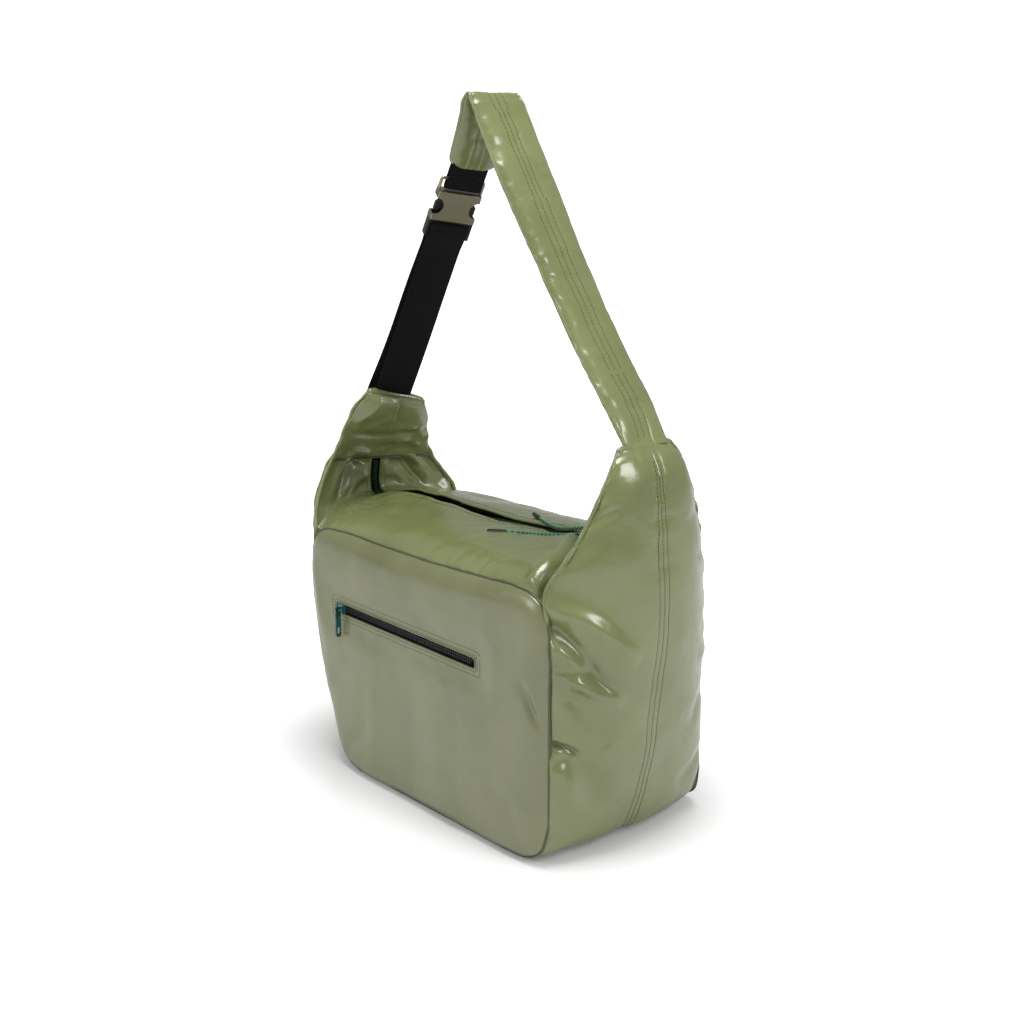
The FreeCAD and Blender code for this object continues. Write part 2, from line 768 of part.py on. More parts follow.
def build_webbing():
    """The adjustable webbing: up from the horn, round the buckle's bar and down again as a tail."""
    thick = size("web_thick")
    bar = size("bar_width") / 2 + 0.2
    at = male_bar_at()
    front = strip(0, at, -bar - thick, -bar)
    radius = size("web_radius")
    above_horn = half_space(Vector(0, 0, size("left_horn_top")), Vector(0, 0, 1))
    stub = to_leg(front).common(swing_cylinder(radius)).common(above_horn)
    feature("webbing_stub", stub)
    long = at + size("tail_past")
    spread = math.degrees(math.atan2(size("web_apart") * 3 - bar, at))
    tail = block(-size("web_width") / 2, size("web_width") / 2, bar, bar + thick, -long, 0)
    tail.Placement = Placement(Vector(0, 0, at), Rotation(Vector(1, 0, 0), spread))
    band = to_leg(front.fuse([wrap(at, bar, thick, False), tail]))
    before = half_space(FOOT, LEG.Rotation.multVec(Vector(0, -1, 0)))
    feature("lower_webbing", band.cut(swing_cylinder(radius + size("swing_play")).common(before)))


def build_upper_loop():
    """The short loop of webbing that holds the buckle's ring, sewn into the padded end."""
    thick = size("web_thick")
    bar = size("ring_bar") / 2 + 0.2
    at = size("buckle_at") + size("buckle_height") + size("ring_height") - size("ring_bar") / 2
    end = size("pad_end_at")
    loop = strip(at, end, -bar - thick, -bar).fuse([strip(at, end, bar, bar + thick),
                                                    wrap(at, bar, thick, True)])
    feature("upper_webbing_loop", to_leg(loop))


def build_short_pad():
    """The padded end over the fold: a ruled slab that turns from the fold into the twisted leg."""
    half, wide = size("strap_thick") / 2, size("strap_width") / 2
    low = [LEG.multVec(Vector(x, y, size("pad_end_at")))
           for x, y in ((-wide, half), (wide, half), (wide, -half), (-wide, -half))]
    drop = 1.5 * size("strap_thick")
    x = FOLD.x - size("swing_play")
    top = [Vector(x, -wide, FOLD.z), Vector(x, wide, FOLD.z),
           Vector(x, wide, FOLD.z - drop), Vector(x, -wide, FOLD.z - drop)]
    wires = [Part.makePolygon(loop + [loop[0]]) for loop in (low, top)]
    feature("strap_short_pad", Part.makeLoft(wires, True, True))


def build_buckle():
    """Side-release buckle: ring and shell above, two-pronged frame below."""
    at, tall, wide = size("buckle_at"), size("buckle_height"), size("buckle_width") / 2
    deep, wall = size("buckle_thick") / 2, size("shell_wall")
    narrow = wide - 1
    outer = Part.makePolygon([Vector(-wide, 0, at), Vector(wide, 0, at), Vector(narrow, 0, at + tall),
                              Vector(-narrow, 0, at + tall), Vector(-wide, 0, at)])
    outer.translate(Vector(0, -deep, 0))
    shell = Part.Face(outer).extrude(Vector(0, 2 * deep, 0))
    rims = [e for e in shell.Edges if abs(e.Vertexes[0].Y - e.Vertexes[1].Y) < 0.01]
    shell = shell.makeFillet(wall / 2, rims)
    room = wide - 0.75 * wall
    cavity = block(-room, room, -deep + wall, deep - wall, at - 1, at + size("prong_length") + 3)
    notch = size("notch_radius")
    level = at + tall * 0.48
    holes = [Part.makeCylinder(notch, 4 * deep, Vector(x, -2 * deep, level), Vector(0, 1, 0))
             for x in (-wide + 0.5, wide - 0.5)]
    feature("buckle_shell", to_leg(shell.cut(cavity).cut(holes)))

    bar = size("ring_bar") / 2
    high = at + tall + size("ring_height") - bar
    x = size("web_width") / 2 + bar + size("ring_play")
    bend = bar + size("ring_play") / 2
    nook = bend * (1 - math.sqrt(0.5))
    low = at + tall
    path = Part.Wire([
        Part.LineSegment(Vector(-x, 0, low), Vector(-x, 0, high - bend)).toShape(),
        Part.Arc(Vector(-x, 0, high - bend), Vector(nook - x, 0, high - nook), Vector(bend - x, 0, high)).toShape(),
        Part.LineSegment(Vector(bend - x, 0, high), Vector(x - bend, 0, high)).toShape(),
        Part.Arc(Vector(x - bend, 0, high), Vector(x - nook, 0, high - nook), Vector(x, 0, high - bend)).toShape(),
        Part.LineSegment(Vector(x, 0, high - bend), Vector(x, 0, low)).toShape(),
    ])
    profile = Part.Wire([Part.makeCircle(bar, Vector(-x, 0, at + tall), Vector(0, 0, 1))])
    ring = path.makePipeShell([profile], True, False)
    feature("buckle_ring", to_leg(ring))

    low = at - size("male_height")
    male_deep = deep - wall
    rail = 2.6
    frame = block(-wide, wide, -male_deep, male_deep, low, at - 0.3)
    window = block(-wide + rail, wide - rail, -deep, deep, low + rail / 2 - 3, at - 4)
    rod = Part.makeCylinder(size("bar_width") / 2, 2 * wide - rail, Vector(-wide + rail / 2, 0, male_bar_at()),
                            Vector(1, 0, 0))
    feature("buckle_male_frame", to_leg(frame.cut(window).fuse(rod)))
    for side, name in ((-1, "front"), (1, "back")):
        feature("buckle_prong_" + name, to_leg(prong(side)))


def prong(side):
    """One springy prong: a slim arm that widens into the pad seen in the shell's notch."""
    at, half = size("buckle_at"), size("prong_thick") / 2
    wide = size("buckle_width") / 2 - 2
    arm = size("prong_width")
    top = at + size("prong_length")
    corners = [
        (wide - 2 * arm + 1, at),
        (wide - arm + 0.5, at),
        (wide - arm + 0.5, at + 6),
        (wide, at + 9),
        (wide, top - 6),
        (wide - arm, top),
        (wide - 1.6 * arm, top),
        (wide - 2 * arm, top - 5),
    ]
    points = [Vector(side * x, -half, z) for x, z in corners]
    face = Part.Face(Part.makePolygon(points + [points[0]]))
    return face.extrude(Vector(0, 2 * half, 0))


# ---------------------------------------------------------------- build and write

build_soft_body()
build_panels()
build_zips()
build_puller()
build_cords()
build_padded_leg()
build_webbing()
build_upper_loop()
build_short_pad()
build_buckle()

doc.recompute()
for item in doc.Objects:
    if "Invalid" in item.State or "Error" in item.State:
        raise RuntimeError("%s failed: %s" % (item.Label, item.State))
for item in NODES:
    if item.Shape.isNull() or not item.Shape.isValid() or item.Shape.Volume <= 0:
        raise RuntimeError("%s has no valid shape" % item.Label)

os.makedirs("parts", exist_ok=True)
for item in NODES:
    item.Shape.exportStep(os.path.join("parts", item.Label + ".step"))
print(len(NODES), "sub-parts written")
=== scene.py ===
"""Looks of a puffer nylon crossbody purse, built round its working frame.

Shapes are worked out in millimetres, +X to the bag's right, front facing -Y, +Z up,
and go into the meshes in metres.  Every cloth surface is a grid of points.
"""
import math

import bpy
import numpy as np
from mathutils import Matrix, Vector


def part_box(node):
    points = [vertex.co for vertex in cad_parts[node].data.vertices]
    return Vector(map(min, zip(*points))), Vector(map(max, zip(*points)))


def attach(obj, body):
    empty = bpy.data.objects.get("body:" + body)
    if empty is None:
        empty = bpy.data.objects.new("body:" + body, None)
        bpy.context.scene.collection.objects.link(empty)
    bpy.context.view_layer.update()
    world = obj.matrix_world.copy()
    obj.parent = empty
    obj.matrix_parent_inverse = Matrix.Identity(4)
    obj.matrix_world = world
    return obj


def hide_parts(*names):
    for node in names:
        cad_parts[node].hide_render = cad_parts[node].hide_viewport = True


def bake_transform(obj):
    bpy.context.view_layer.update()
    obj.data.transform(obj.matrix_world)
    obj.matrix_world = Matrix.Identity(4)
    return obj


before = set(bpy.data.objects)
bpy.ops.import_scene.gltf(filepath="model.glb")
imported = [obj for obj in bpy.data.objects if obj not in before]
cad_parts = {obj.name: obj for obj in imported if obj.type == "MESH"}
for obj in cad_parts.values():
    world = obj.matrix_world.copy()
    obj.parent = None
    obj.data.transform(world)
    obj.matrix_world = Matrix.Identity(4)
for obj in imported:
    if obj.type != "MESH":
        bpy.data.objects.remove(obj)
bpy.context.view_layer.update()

MM = 0.001

# ------------------------------------------------------------------ measures, mm
GRID_TURN = 1.0                 # mm to a radian in the shell nylon's faint grid
RIB_TURN = 0.8                  # the same in the ribs of the webbing and the zip tapes
WAVE_RADIANS = 20               # a wave texture's radians to a metre at a scale of one
SEAM_HALF = 94.0                # half depth of the bag at the panel seams
STATION = 2.2                   # spacing of the rows of the gusset and the top
TAPE_FACE = 102.3               # from the middle plane to the flat round the front zip
WINDOW_RADIUS, ROW_RADIUS = 1.6, 3.0
STITCH_PITCH, STITCH_LENGTH, STITCH_WIDTH = 3.6, 2.9, 0.55
ROW_GAP = 6.0                   # between the rows of a triple topstitch
ROWS = (-ROW_GAP, 0, ROW_GAP)
HORN_FOOT = 262                 # height where the horns begin
CAP_FOOT = 297                  # height of the lower edge of the horns' inner caps
END_ROUND = 9                   # radius of the strap's short end
WEB_WIDTH, LOOP_WIDTH, WEB_THICK = 38, 35.5, 1.8
# Teeth: pitch, size along, across and up, and distance from the zip's middle
MAIN_PITCH, MAIN_TOOTH, MAIN_APART = 2.9, (1.55, 3.6, 2.2), 1.25
FRONT_PITCH, FRONT_TOOTH, FRONT_APART = 3.0, (1.7, 3.9, 2.3), 1.45
FRONT_ZIP_Y, FRONT_ZIP_Z = -100.3, 167
TAPE_WIDTH, TAPE_THICK, TAPE_APART = 9.2, 0.9, 5.0
TAPE_SUNK, TEETH_SUNK = 3.1, 1.6    # below the line of the main zip
CORD_WIDTH = 3.5
TIP_WIDTH, TIP_LENGTH = 4.4, 20.0
STRAP_SEAM = np.array([188.0, 0.0, 371.0])
FOOT = np.array([-169.0, 0.0, 356.0])
LEG_UP = np.array([0.478, 0.0, 0.878])
LEG_ACROSS = np.array([0.300, 0.940, -0.163])
LEG_FRONT = np.array([0.825, -0.341, -0.449])

# Rows down one horn, round the bottom and up the other:
# seam x, seam z, half width, middle x, middle z
OUTER = [
    (-159, 363, 35, -176, 364), (-165, 351, 43, -186, 351), (-176, 323, 51, -196, 326),
    (-182, 298, 60, -204, 300), (-184, 279, 72, -209, 279), (-182, 260, 83, -212, 262),
    (-171.5, 229, 94, -212, 238), (-177, 200, 94, -212, 200), (-172, 139, 94, -207, 139),
    (-154, 68, 94.5, -190, 70), (-133, 24, 97, -166, 28), (-119, 8, 98.5, -147, 8),
    (-98, 1.5, 99, -118, 0), (-30, 1, 99.5, -30, 0), (50, 1, 99.5, 50, 0),
    (125, 1.5, 99, 132, 0), (154, 5, 98, 159, 2), (168, 14, 97, 174, 12),
    (174.5, 34, 96, 184, 34), (175, 66, 95, 194, 70), (174.5, 103, 94.5, 202, 108),
    (174, 158, 94, 209, 165), (173.5, 212, 94, 212, 215), (168, 234, 94, 212.5, 238),
    (166, 249, 93.5, 212.5, 252), (176, 273, 85, 212, 275), (184, 299, 70, 209.5, 302),
    (189, 327, 56, 206, 329), (190, 347, 44, 201, 350), (187, 366, 32, 190, 370),
]
# Rows up the inside of one horn, over the top and up the other
INNER = [
    (-159, 363, 35, -156, 363), (-165, 351, 43, -160, 348), (-176, 323, 51, -178, 321),
    (-182, 298, 60, -190, 297), (-184, 279, 72, -196, 278), (-182, 260, 83, -197, 263),
    (-170, 229.5, 93.5, -191, 253), (-158, 236.5, 94, -172, 252), (-128, 241.5, 94, -128, 255),
    (-63, 242, 94, -63, 259), (13, 243, 94, 13, 264), (97, 247, 94, 97, 269.5),
    (132, 248.5, 94, 132, 272.5), (151, 246.5, 94, 156, 276), (164, 238.5, 94, 176, 285),
    (170, 259, 90.5, 188, 297), (176, 273, 85, 193, 309), (184, 299, 70, 193, 323),
    (189, 327, 56, 191, 338), (190, 347, 44, 188, 351), (187, 366, 32, 184, 366),
]
# Seam round the front panel, x and z, clockwise from the left side
PANEL = [
    (-177, 200), (-174.5, 217), (-167, 231), (-153, 238.5), (-128, 241.5), (-63, 242),
    (13, 243), (97, 247), (132, 248.5), (150, 246.5), (163, 240), (171, 226), (174, 206),
    (174, 158), (174.5, 103), (175, 66), (174.5, 34), (168, 14), (154, 5), (125, 1.5),
    (50, 1), (-30, 1), (-98, 1.5), (-119, 8), (-133, 24), (-154, 68), (-172, 139),
]
LONG_CORD = [
    (129.3, 0, 274.4), (120, 0, 274.4), (106.5, -12, 272.9), (92, -19.2, 271),
    (77.5, -24.4, 269.6), (62, -27.6, 268.2), (47.5, -32.8, 266.8),
]
SHORT_CORD = [
    (129.3, 0, 280.2), (119.5, 0, 280.2), (106, -1.6, 276.6), (92, -2.4, 273.2),
    (79, -0.5, 271.4), (65, 4, 270.4), (52, 9.5, 270), (41, 14.6, 269.6),
]
LONG_LENGTH, SHORT_LENGTH = 90.0, 92.4

# Folds of the right side, (y, z) along each, with its width and height
SIDE_FOLDS = [
    ([(-94, 238), (-75, 231), (-54, 213), (-24, 186)], 7.5, 5.6),
    ([(-96, 229), (-84, 212), (-68, 186), (-46, 152)], 6.5, -7.5),
    ([(-94, 207), (-82, 197), (-68, 182)], 6, 5.0),
    ([(-86, 180), (-64, 165), (-36, 151)], 6, 5.6),
    ([(-84, 168), (-66, 142), (-46, 112)], 9, -4.4),
    ([(-95, 117), (-86, 114), (-72, 106)], 2.6, -7.0),
    ([(-88, 112), (-68, 90), (-50, 52)], 11, -5.0),
    ([(-92, 100), (-80, 76), (-70, 40)], 8, 3.6),
    ([(-60, 110), (-40, 84), (-34, 50)], 14, 2.0),
    ([(-94, 183), (-82, 184)], 1.8, -1.3),
    ([(-38, 362), (-41, 350), (-50, 334)], 7, 2.6),
    ([(-70, 302), (-56, 314), (-40, 322)], 3.2, -2.6),
    ([(-66, 312), (-52, 330), (-44, 342)], 3.0, -2.2),
    ([(-84, 276), (-66, 292), (-52, 296)], 4.5, -1.8),
    ([(90, 232), (74, 250), (52, 262)], 6, 2.6),
    ([(92, 206), (76, 196), (60, 190)], 6, -2.4),
    ([(92, 132), (74, 120), (58, 96)], 8, -2.6),
    ([(94, 160), (80, 166), (62, 164)], 8, 2.2),
    ([(90, 60), (72, 50), (50, 40)], 8, -2.0),
    ([(30, 352), (34, 330), (40, 300)], 12, 2.2),
]
# Folds of the front panel, (x, z)
PANEL_FOLDS = [
    ([(176, 120), (165, 134), (144, 170)], 4.5, -5.0),
    ([(172, 112), (150, 96), (120, 90)], 14, -1.6),
    ([(-170, 210), (-160, 176), (-158, 120)], 9, 1.8),
    ([(-176, 190), (-164, 158), (-150, 100)], 7, -1.6),
    ([(-150, 66), (-128, 84), (-96, 92)], 12, -2.0),
    ([(-118, 10), (-100, 34), (-70, 60)], 10, -1.8),
    ([(60, 4), (40, 40), (30, 90)], 22, 1.6),
    ([(150, 8), (134, 40), (100, 60)], 12, -1.8),
    ([(-40, 236), (-30, 214), (-36, 190)], 16, 1.4),
    ([(110, 244), (100, 220), (104, 186)], 16, 1.4),
]


# ------------------------------------------------------------------ shape tools
def through(points, knots, at):
    """Smooth curve through points: one cubic between each two knots, and at a knot the
    slope is the mean of its two neighbours' slopes, the nearer one counting more."""
    p, k = np.asarray(points, float), np.asarray(knots, float)
    step = np.diff(k)
    slope = np.diff(p, axis=0) / step[:, None]
    near = step[1:, None] * slope[:-1] + step[:-1, None] * slope[1:]
    inner = near / (step[:-1] + step[1:])[:, None]
    m = np.vstack([slope[:1], inner, slope[-1:]])
    i = np.clip(np.searchsorted(k, at, side="right") - 1, 0, len(k) - 2)
    t, h = ((at - k[i]) / step[i])[:, None], step[i][:, None]
    start = (1 + 2 * t) * (1 - t) ** 2 * p[i] + t * (1 - t) ** 2 * h * m[i]
    return start + t * t * (3 - 2 * t) * p[i + 1] + t * t * (t - 1) * h * m[i + 1]


def lengths(points):
    """Distance along a polyline at each of its points."""
    steps = np.linalg.norm(np.diff(points, axis=0), axis=1)
    return np.concatenate([[0.0], np.cumsum(steps)])


def smooth_path(points, spacing, closed=False):
    """Points at about that spacing along the smooth curve through the given ones."""
    p = np.asarray(points, float)
    if closed:
        p = np.vstack([p[-2:], p, p[:3]])
    k = lengths(p)
    first, last = (k[2], k[-3]) if closed else (k[0], k[-1])
    count = max(3, int(round((last - first) / spacing)) + 1)
    return through(p, k, np.linspace(first, last, count))


def closed(grid):
    """The grid with its first column repeated after its last."""
    return np.concatenate([grid, grid[:, :1]], axis=1)


def noise(p, scale, seed):
    """Smooth noise from -1 to 1: random values on the corners of a lattice of that size,
    one size for each coordinate, joined by a quintic step."""
    q = np.asarray(p, float) / np.asarray(scale, float) + 517.3
    cell = np.floor(q).astype(np.int64)
    f = q - cell
    f = f * f * f * (f * (f * 6 - 15) + 10)
    total = np.zeros(q.shape[:-1])
    for corner in np.ndindex(*(2,) * q.shape[-1]):
        code = np.full(q.shape[:-1], seed * 7919 + 12345, np.int64)
        weight = np.ones(q.shape[:-1])
        for axis, side in enumerate(corner):
            code = (code * 1103515245 + (cell[..., axis] + side) * 12820163) & 0x7FFFFFFF
            code = (code ^ (code >> 15)) * 73244475 & 0x7FFFFFFF
            weight = weight * (f[..., axis] if side else 1 - f[..., axis])
        total += weight * (((code ^ (code >> 13)) & 0xFFFF) / 32767.5 - 1)
    return total


def noise2(first, second, scale, seed):
    """The same noise on two coordinates."""
    return noise(np.stack(np.broadcast_arrays(first, second), axis=-1), scale, seed)


def fade(distance, reach):
    """Exponential decay, 1 up to nought and about a third at that reach."""
    return np.exp(-np.maximum(distance, 0) / reach)


def circle(count):
    """Angles round a full turn."""
    return np.linspace(0, 2 * math.pi, count, endpoint=False)


def powered(value, power):
    """The size of a value raised to a power, with the value's own sign."""
    return np.sign(value) * np.abs(value) ** power


def crease(value, width):
    """Sharp valley where value passes through nought: minus a bell curve of that width."""
    return -np.exp(-((value / width) ** 2))


def bell(distance, width):
    """Bell curve, 1 at nought and about a third at that width."""
    return np.exp(-((distance / width) ** 2))


def folded(across, up, folds):
    """Relief of named folds: each is a line of (across, up) points, a width and a height,
    below nought for a valley.  Its section is a bell curve of the distance from the line,
    and its height fades to nought at the line's far end."""
    total = np.zeros(across.shape)
    place = np.stack([across, up], axis=-1)
    for points, width, height in folds:
        line = smooth_path(np.asarray(points, float), max(width * 0.5, 2.0))
        a, d = line[:-1], np.diff(line, axis=0)
        near, share = np.full(across.shape, 1e9), np.zeros(across.shape)
        for n, (start, run) in enumerate(zip(a, d)):
            t = np.clip(((place - start) @ run) / (run @ run), 0, 1)
            gap = np.linalg.norm(place - start - t[..., None] * run, axis=-1)
            closer = gap < near
            near = np.where(closer, gap, near)
            share = np.where(closer, (n + t) / len(a), share)
        total += height * bell(near, width) * (1 - share ** 4) * (0.35 + 0.65 * rise(share, 0, 0.15))
    return total


def rise(value, low, high):
    """Smooth step from 0 at low to 1 at high."""
    t = np.clip((value - low) / (high - low), 0, 1)
    return t * t * (3 - 2 * t)


def normals(grid):
    """Unit normal at each point of a grid: the cross product of its two slopes."""
    n = np.cross(np.gradient(grid, axis=0), np.gradient(grid, axis=1))
    return n / np.maximum(np.linalg.norm(n, axis=2, keepdims=True), 1e-9)


def pushed(grid, amount, sign=1):
    """The grid moved along its normals by that many millimetres."""
    return grid + sign * normals(grid) * amount[..., None]


def put_mesh(name, points, quads, uv=None, triangles=None):
    """A mesh object at the origin from arrays of points in mm, four-sided faces and,
    where given, three-sided ones and texture coordinates in metres, one to a point."""
    mesh = bpy.data.meshes.new(name)
    faces = [quads.reshape(-1, 4)]
    if triangles is not None and len(triangles):
        faces.append(triangles.reshape(-1, 3))
    loops = np.concatenate([f.ravel() for f in faces]).astype(np.int32)
    totals = np.concatenate([np.full(len(f), f.shape[1], np.int32) for f in faces])
    starts = np.concatenate([[0], np.cumsum(totals)[:-1]]).astype(np.int32)
    mesh.vertices.add(len(points))
    mesh.vertices.foreach_set("co", (points * MM).astype(np.float32).ravel())
    mesh.loops.add(len(loops))
    mesh.loops.foreach_set("vertex_index", loops)
    mesh.polygons.add(len(totals))
    mesh.polygons.foreach_set("loop_start", starts)
    mesh.polygons.foreach_set("loop_total", totals)
    mesh.polygons.foreach_set("use_smooth", np.ones(len(totals), bool))
    if uv is not None:
        layer = mesh.uv_layers.new(name="UVMap")
        layer.data.foreach_set("uv", uv[loops].astype(np.float32).ravel())
    mesh.update(calc_edges=True)
    mesh.validate()
    obj = bpy.data.objects.new(name, mesh)
    bpy.context.scene.collection.objects.link(obj)
    return obj


def quads_of(rows, columns, wrap=False):
    """Faces of a grid, with its last column joined to its first where it wraps."""
    i = np.arange(rows - 1)[:, None]
    j = np.arange(columns if wrap else columns - 1)[None, :]
    k = (j + 1) % columns
    corners = [i * columns + j, (i + 1) * columns + j, (i + 1) * columns + k, i * columns + k]
    return np.stack(corners, axis=-1).reshape(-1, 4)


def grid_uv(grid):
    """Texture coordinates in metres: the mean distance along each way of the grid."""
    along = np.linalg.norm(np.diff(grid, axis=0), axis=2).mean(axis=1)
    across = np.linalg.norm(np.diff(grid, axis=1), axis=2).mean(axis=0)
    u = np.concatenate([[0], np.cumsum(along)])
    v = np.concatenate([[0], np.cumsum(across)])
    return np.stack(np.broadcast_arrays(u[:, None], v[None, :]), axis=-1).reshape(-1, 2) * MM


def sheet_of(name, grid, wall, flip=False):
    """Open cloth surface from a grid, given its thickness on the inner side."""
    rows, columns = grid.shape[:2]
    quads = quads_of(rows, columns)
    obj = put_mesh(name, grid.reshape(-1, 3), quads[:, ::-1] if flip else quads, grid_uv(grid))
    thick = obj.modifiers.new("thickness", "SOLIDIFY")
    thick.thickness, thick.offset = wall * MM, -1
    thick.use_even_offset = False
    return obj


def volume(points, quads, triangles):
    """Signed volume inside closed faces, each quad counted as its two triangles."""
    tri = np.vstack([quads[:, [0, 1, 2]], quads[:, [0, 2, 3]], triangles])
    a, b, c = (points[tri[:, n]] for n in range(3))
    return np.einsum("ij,ij->i", a, np.cross(b, c)).sum() / 6


def tube_of(name, grid):
    """Closed tube from a grid that wraps across, each end closed by a fan of triangles."""
    rows, columns = grid.shape[:2]
    points = np.vstack([grid.reshape(-1, 3), grid[0].mean(axis=0), grid[-1].mean(axis=0)])
    quads = quads_of(rows, columns, wrap=True)
    j = np.arange(columns)
    k = (j + 1) % columns
    top = (rows - 1) * columns
    hub = np.full(columns, rows * columns)
    triangles = np.vstack([np.stack([hub, j, k], axis=1),
                           np.stack([hub + 1, top + k, top + j], axis=1)])
    if volume(points, quads, triangles) < 0:
        quads, triangles = quads[:, ::-1], triangles[:, ::-1]
    uv = np.vstack([grid_uv(grid), np.zeros((2, 2))])
    obj = put_mesh(name, points, quads, uv, triangles)
    mesh = obj.data
    ends = np.zeros(len(mesh.edges) * 2, np.int32)
    mesh.edges.foreach_get("vertices", ends)
    ends = ends.reshape(-1, 2)
    rims = (ends < columns).all(axis=1) | ((ends >= top) & (ends < top + columns)).all(axis=1)
    sharp = mesh.attributes.new("sharp_edge", "BOOLEAN", "EDGE")
    sharp.data.foreach_set("value", rims)
    return obj


def carried(path, across, out, profile):
    """Grid of a closed profile carried along a path: each profile point (a, f) goes a along
    the across direction and f along the out direction."""
    a, f = profile[..., 0], profile[..., 1]
    if profile.ndim == 2:
        a, f = a[None, :], f[None, :]
    return path[:, None, :] + a[..., None] * across[:, None, :] + f[..., None] * out[:, None, :]


def frames(path, across):
    """Unit across and out directions at each point: across made square to the path,
    and out square to both."""
    t = np.gradient(path, axis=0)
    t /= np.linalg.norm(t, axis=1, keepdims=True)
    a = np.broadcast_to(np.asarray(across, float), path.shape)
    a = a - t * np.einsum("ij,ij->i", a, t)[:, None]
    a = a / np.linalg.norm(a, axis=1, keepdims=True)
    return a, np.cross(t, a)


def flat_profile(width, thick, count, corner):
    """Closed flat profile with round edges: a circle's sines and cosines raised to a small
    power, so that its sides flatten."""
    turn = circle(count)
    c, s = np.cos(turn), np.sin(turn)
    a = powered(c, corner) * width / 2
    return np.stack([a, powered(s, 0.6) * thick / 2], axis=1)


def bead(name, path, radius, around=8, across=(0, 1, 0)):
    """Round rolled edge along a path."""
    turn = circle(around)
    a, o = frames(path, across)
    r = np.asarray(radius, float).reshape(-1, 1)
    ring = np.stack([np.cos(turn)[None, :] * r, np.sin(turn)[None, :] * r], axis=-1)
    return tube_of(name, carried(path, a, o, ring if len(r) > 1 else ring[0]))


def spindle():
    """Template of a stitch, one unit long and wide: five rings of five points."""
    turn = circle(5)
    shares, sizes = np.array([-0.5, -0.28, 0, 0.28, 0.5]), np.array([0.35, 0.9, 1, 0.9, 0.35])
    ring = np.stack([np.cos(turn), np.sin(turn)], axis=-1) / 2
    points = np.empty((5, 5, 3))
    points[..., 0] = shares[:, None]
    points[..., 1:] = sizes[:, None, None] * ring[None]
    points[..., 2] += sizes[:, None] * 0.35
    fan = np.array([[0, k, k + 1] for k in range(1, 4)])
    return points.reshape(-1, 3), quads_of(5, 5, wrap=True), np.vstack([fan[:, ::-1], fan + 20])


def pebble():
    """Template of a moulded tooth, one unit each way: a block rounded by powers of sines
    and cosines, four rings of eight points."""
    turn = circle(8) + math.pi / 8
    lift = np.array([-0.5, -0.34, 0.3, 0.5])
    sizes = np.array([0.8, 1.0, 1.0, 0.72])
    c, s = np.cos(turn), np.sin(turn)
    ring = np.stack([powered(c, 0.5), powered(s, 0.5)], axis=-1) / 2
    points = np.empty((4, 8, 3))
    points[..., :2] = sizes[:, None, None] * ring[None]
    points[..., 2] = lift[:, None]
    fan = np.array([[0, k, k + 1] for k in range(1, 7)])
    return points.reshape(-1, 3), quads_of(4, 8, wrap=True), np.vstack([fan[:, ::-1], fan + 24])


def copies(name, template, centre, ahead, up, size):
    """One mesh of many small copies of a template: its x along ahead, its z along up, its
    y along their cross product, each stretched by the three sizes."""
    unit, cell, fan = template
    ahead = ahead / np.linalg.norm(ahead, axis=1, keepdims=True)
    side = np.cross(up, ahead)
    side /= np.linalg.norm(side, axis=1, keepdims=True)
    axes = np.stack([ahead, side, np.cross(ahead, side)], axis=1)
    points = np.einsum("pk,nkd->npd", unit * np.asarray(size, float), axes) + centre[:, None, :]
    offset = np.arange(len(centre))[:, None, None] * len(unit)
    points = points.reshape(-1, 3)
    quads = (cell[None] + offset).reshape(-1, 4)
    triangles = (fan[None] + offset).reshape(-1, 3)
    if volume(points, quads, triangles) < 0:
        quads, triangles = quads[:, ::-1], triangles[:, ::-1]
    return put_mesh(name, points, quads, None, triangles)


def spaced(path, pitch, start=0.0, *others):
    """Points every pitch along a path, their headings and the other arrays' values there."""
    s = lengths(path)
    at = np.arange(start + pitch / 2, s[-1] - pitch / 2, pitch)

    def read(values, where):
        return np.stack([np.interp(where, s, values[:, n]) for n in range(values.shape[1])], axis=1)

    ahead = read(path, np.minimum(at + 0.3, s[-1])) - read(path, at - 0.3)
    return read(path, at), ahead, *[read(o, at) for o in others]


def stitches(name, paths, lifts, pitch=STITCH_PITCH, long=STITCH_LENGTH, wide=STITCH_WIDTH):
    """Rows of thread stitches: a spindle every pitch along each path, standing proud of
    the cloth along its lift direction."""
    rows = [spaced(path, pitch, 0.0, lift) for path, lift in zip(paths, lifts)]
    centre, ahead, up = (np.vstack([row[n] for row in rows]) for n in range(3))
    return copies(name, spindle(), centre, ahead, up, (long, wide, wide))


# ------------------------------------------------------------------ material tools
def colour(code):
    """Linear colour from an sRGB hex value."""
    raw = [int(code[n:n + 2], 16) / 255 for n in (1, 3, 5)]
    flat = [c / 12.92 if c <= 0.04045 else ((c + 0.055) / 1.055) ** 2.4 for c in raw]
    return (*flat, 1.0)


def add(tree, kind, links=None, **settings):
    """Adds a node: settings name its properties, or its inputs by name or by number, and
    links its inputs to other sockets."""
    node = tree.nodes.new(kind)
    for key, value in settings.items():
        if hasattr(node, key):
            setattr(node, key, value)
            continue
        numbered = key[0] == "i" and key[1:].isdigit()
        node.inputs[int(key[1:]) if numbered else key.replace("_", " ")].default_value = value
    for key, socket in (links or {}).items():
        tree.links.new(socket, node.inputs[key])
    return node


def material(name, space="Object"):
    """A new node material, its tree, its main shader and its texture coordinates."""
    made = bpy.data.materials.new(name)
    made.use_nodes = True
    tree = made.node_tree
    place = add(tree, "ShaderNodeTexCoord").outputs[space]
    return made, tree, tree.nodes["Principled BSDF"], place


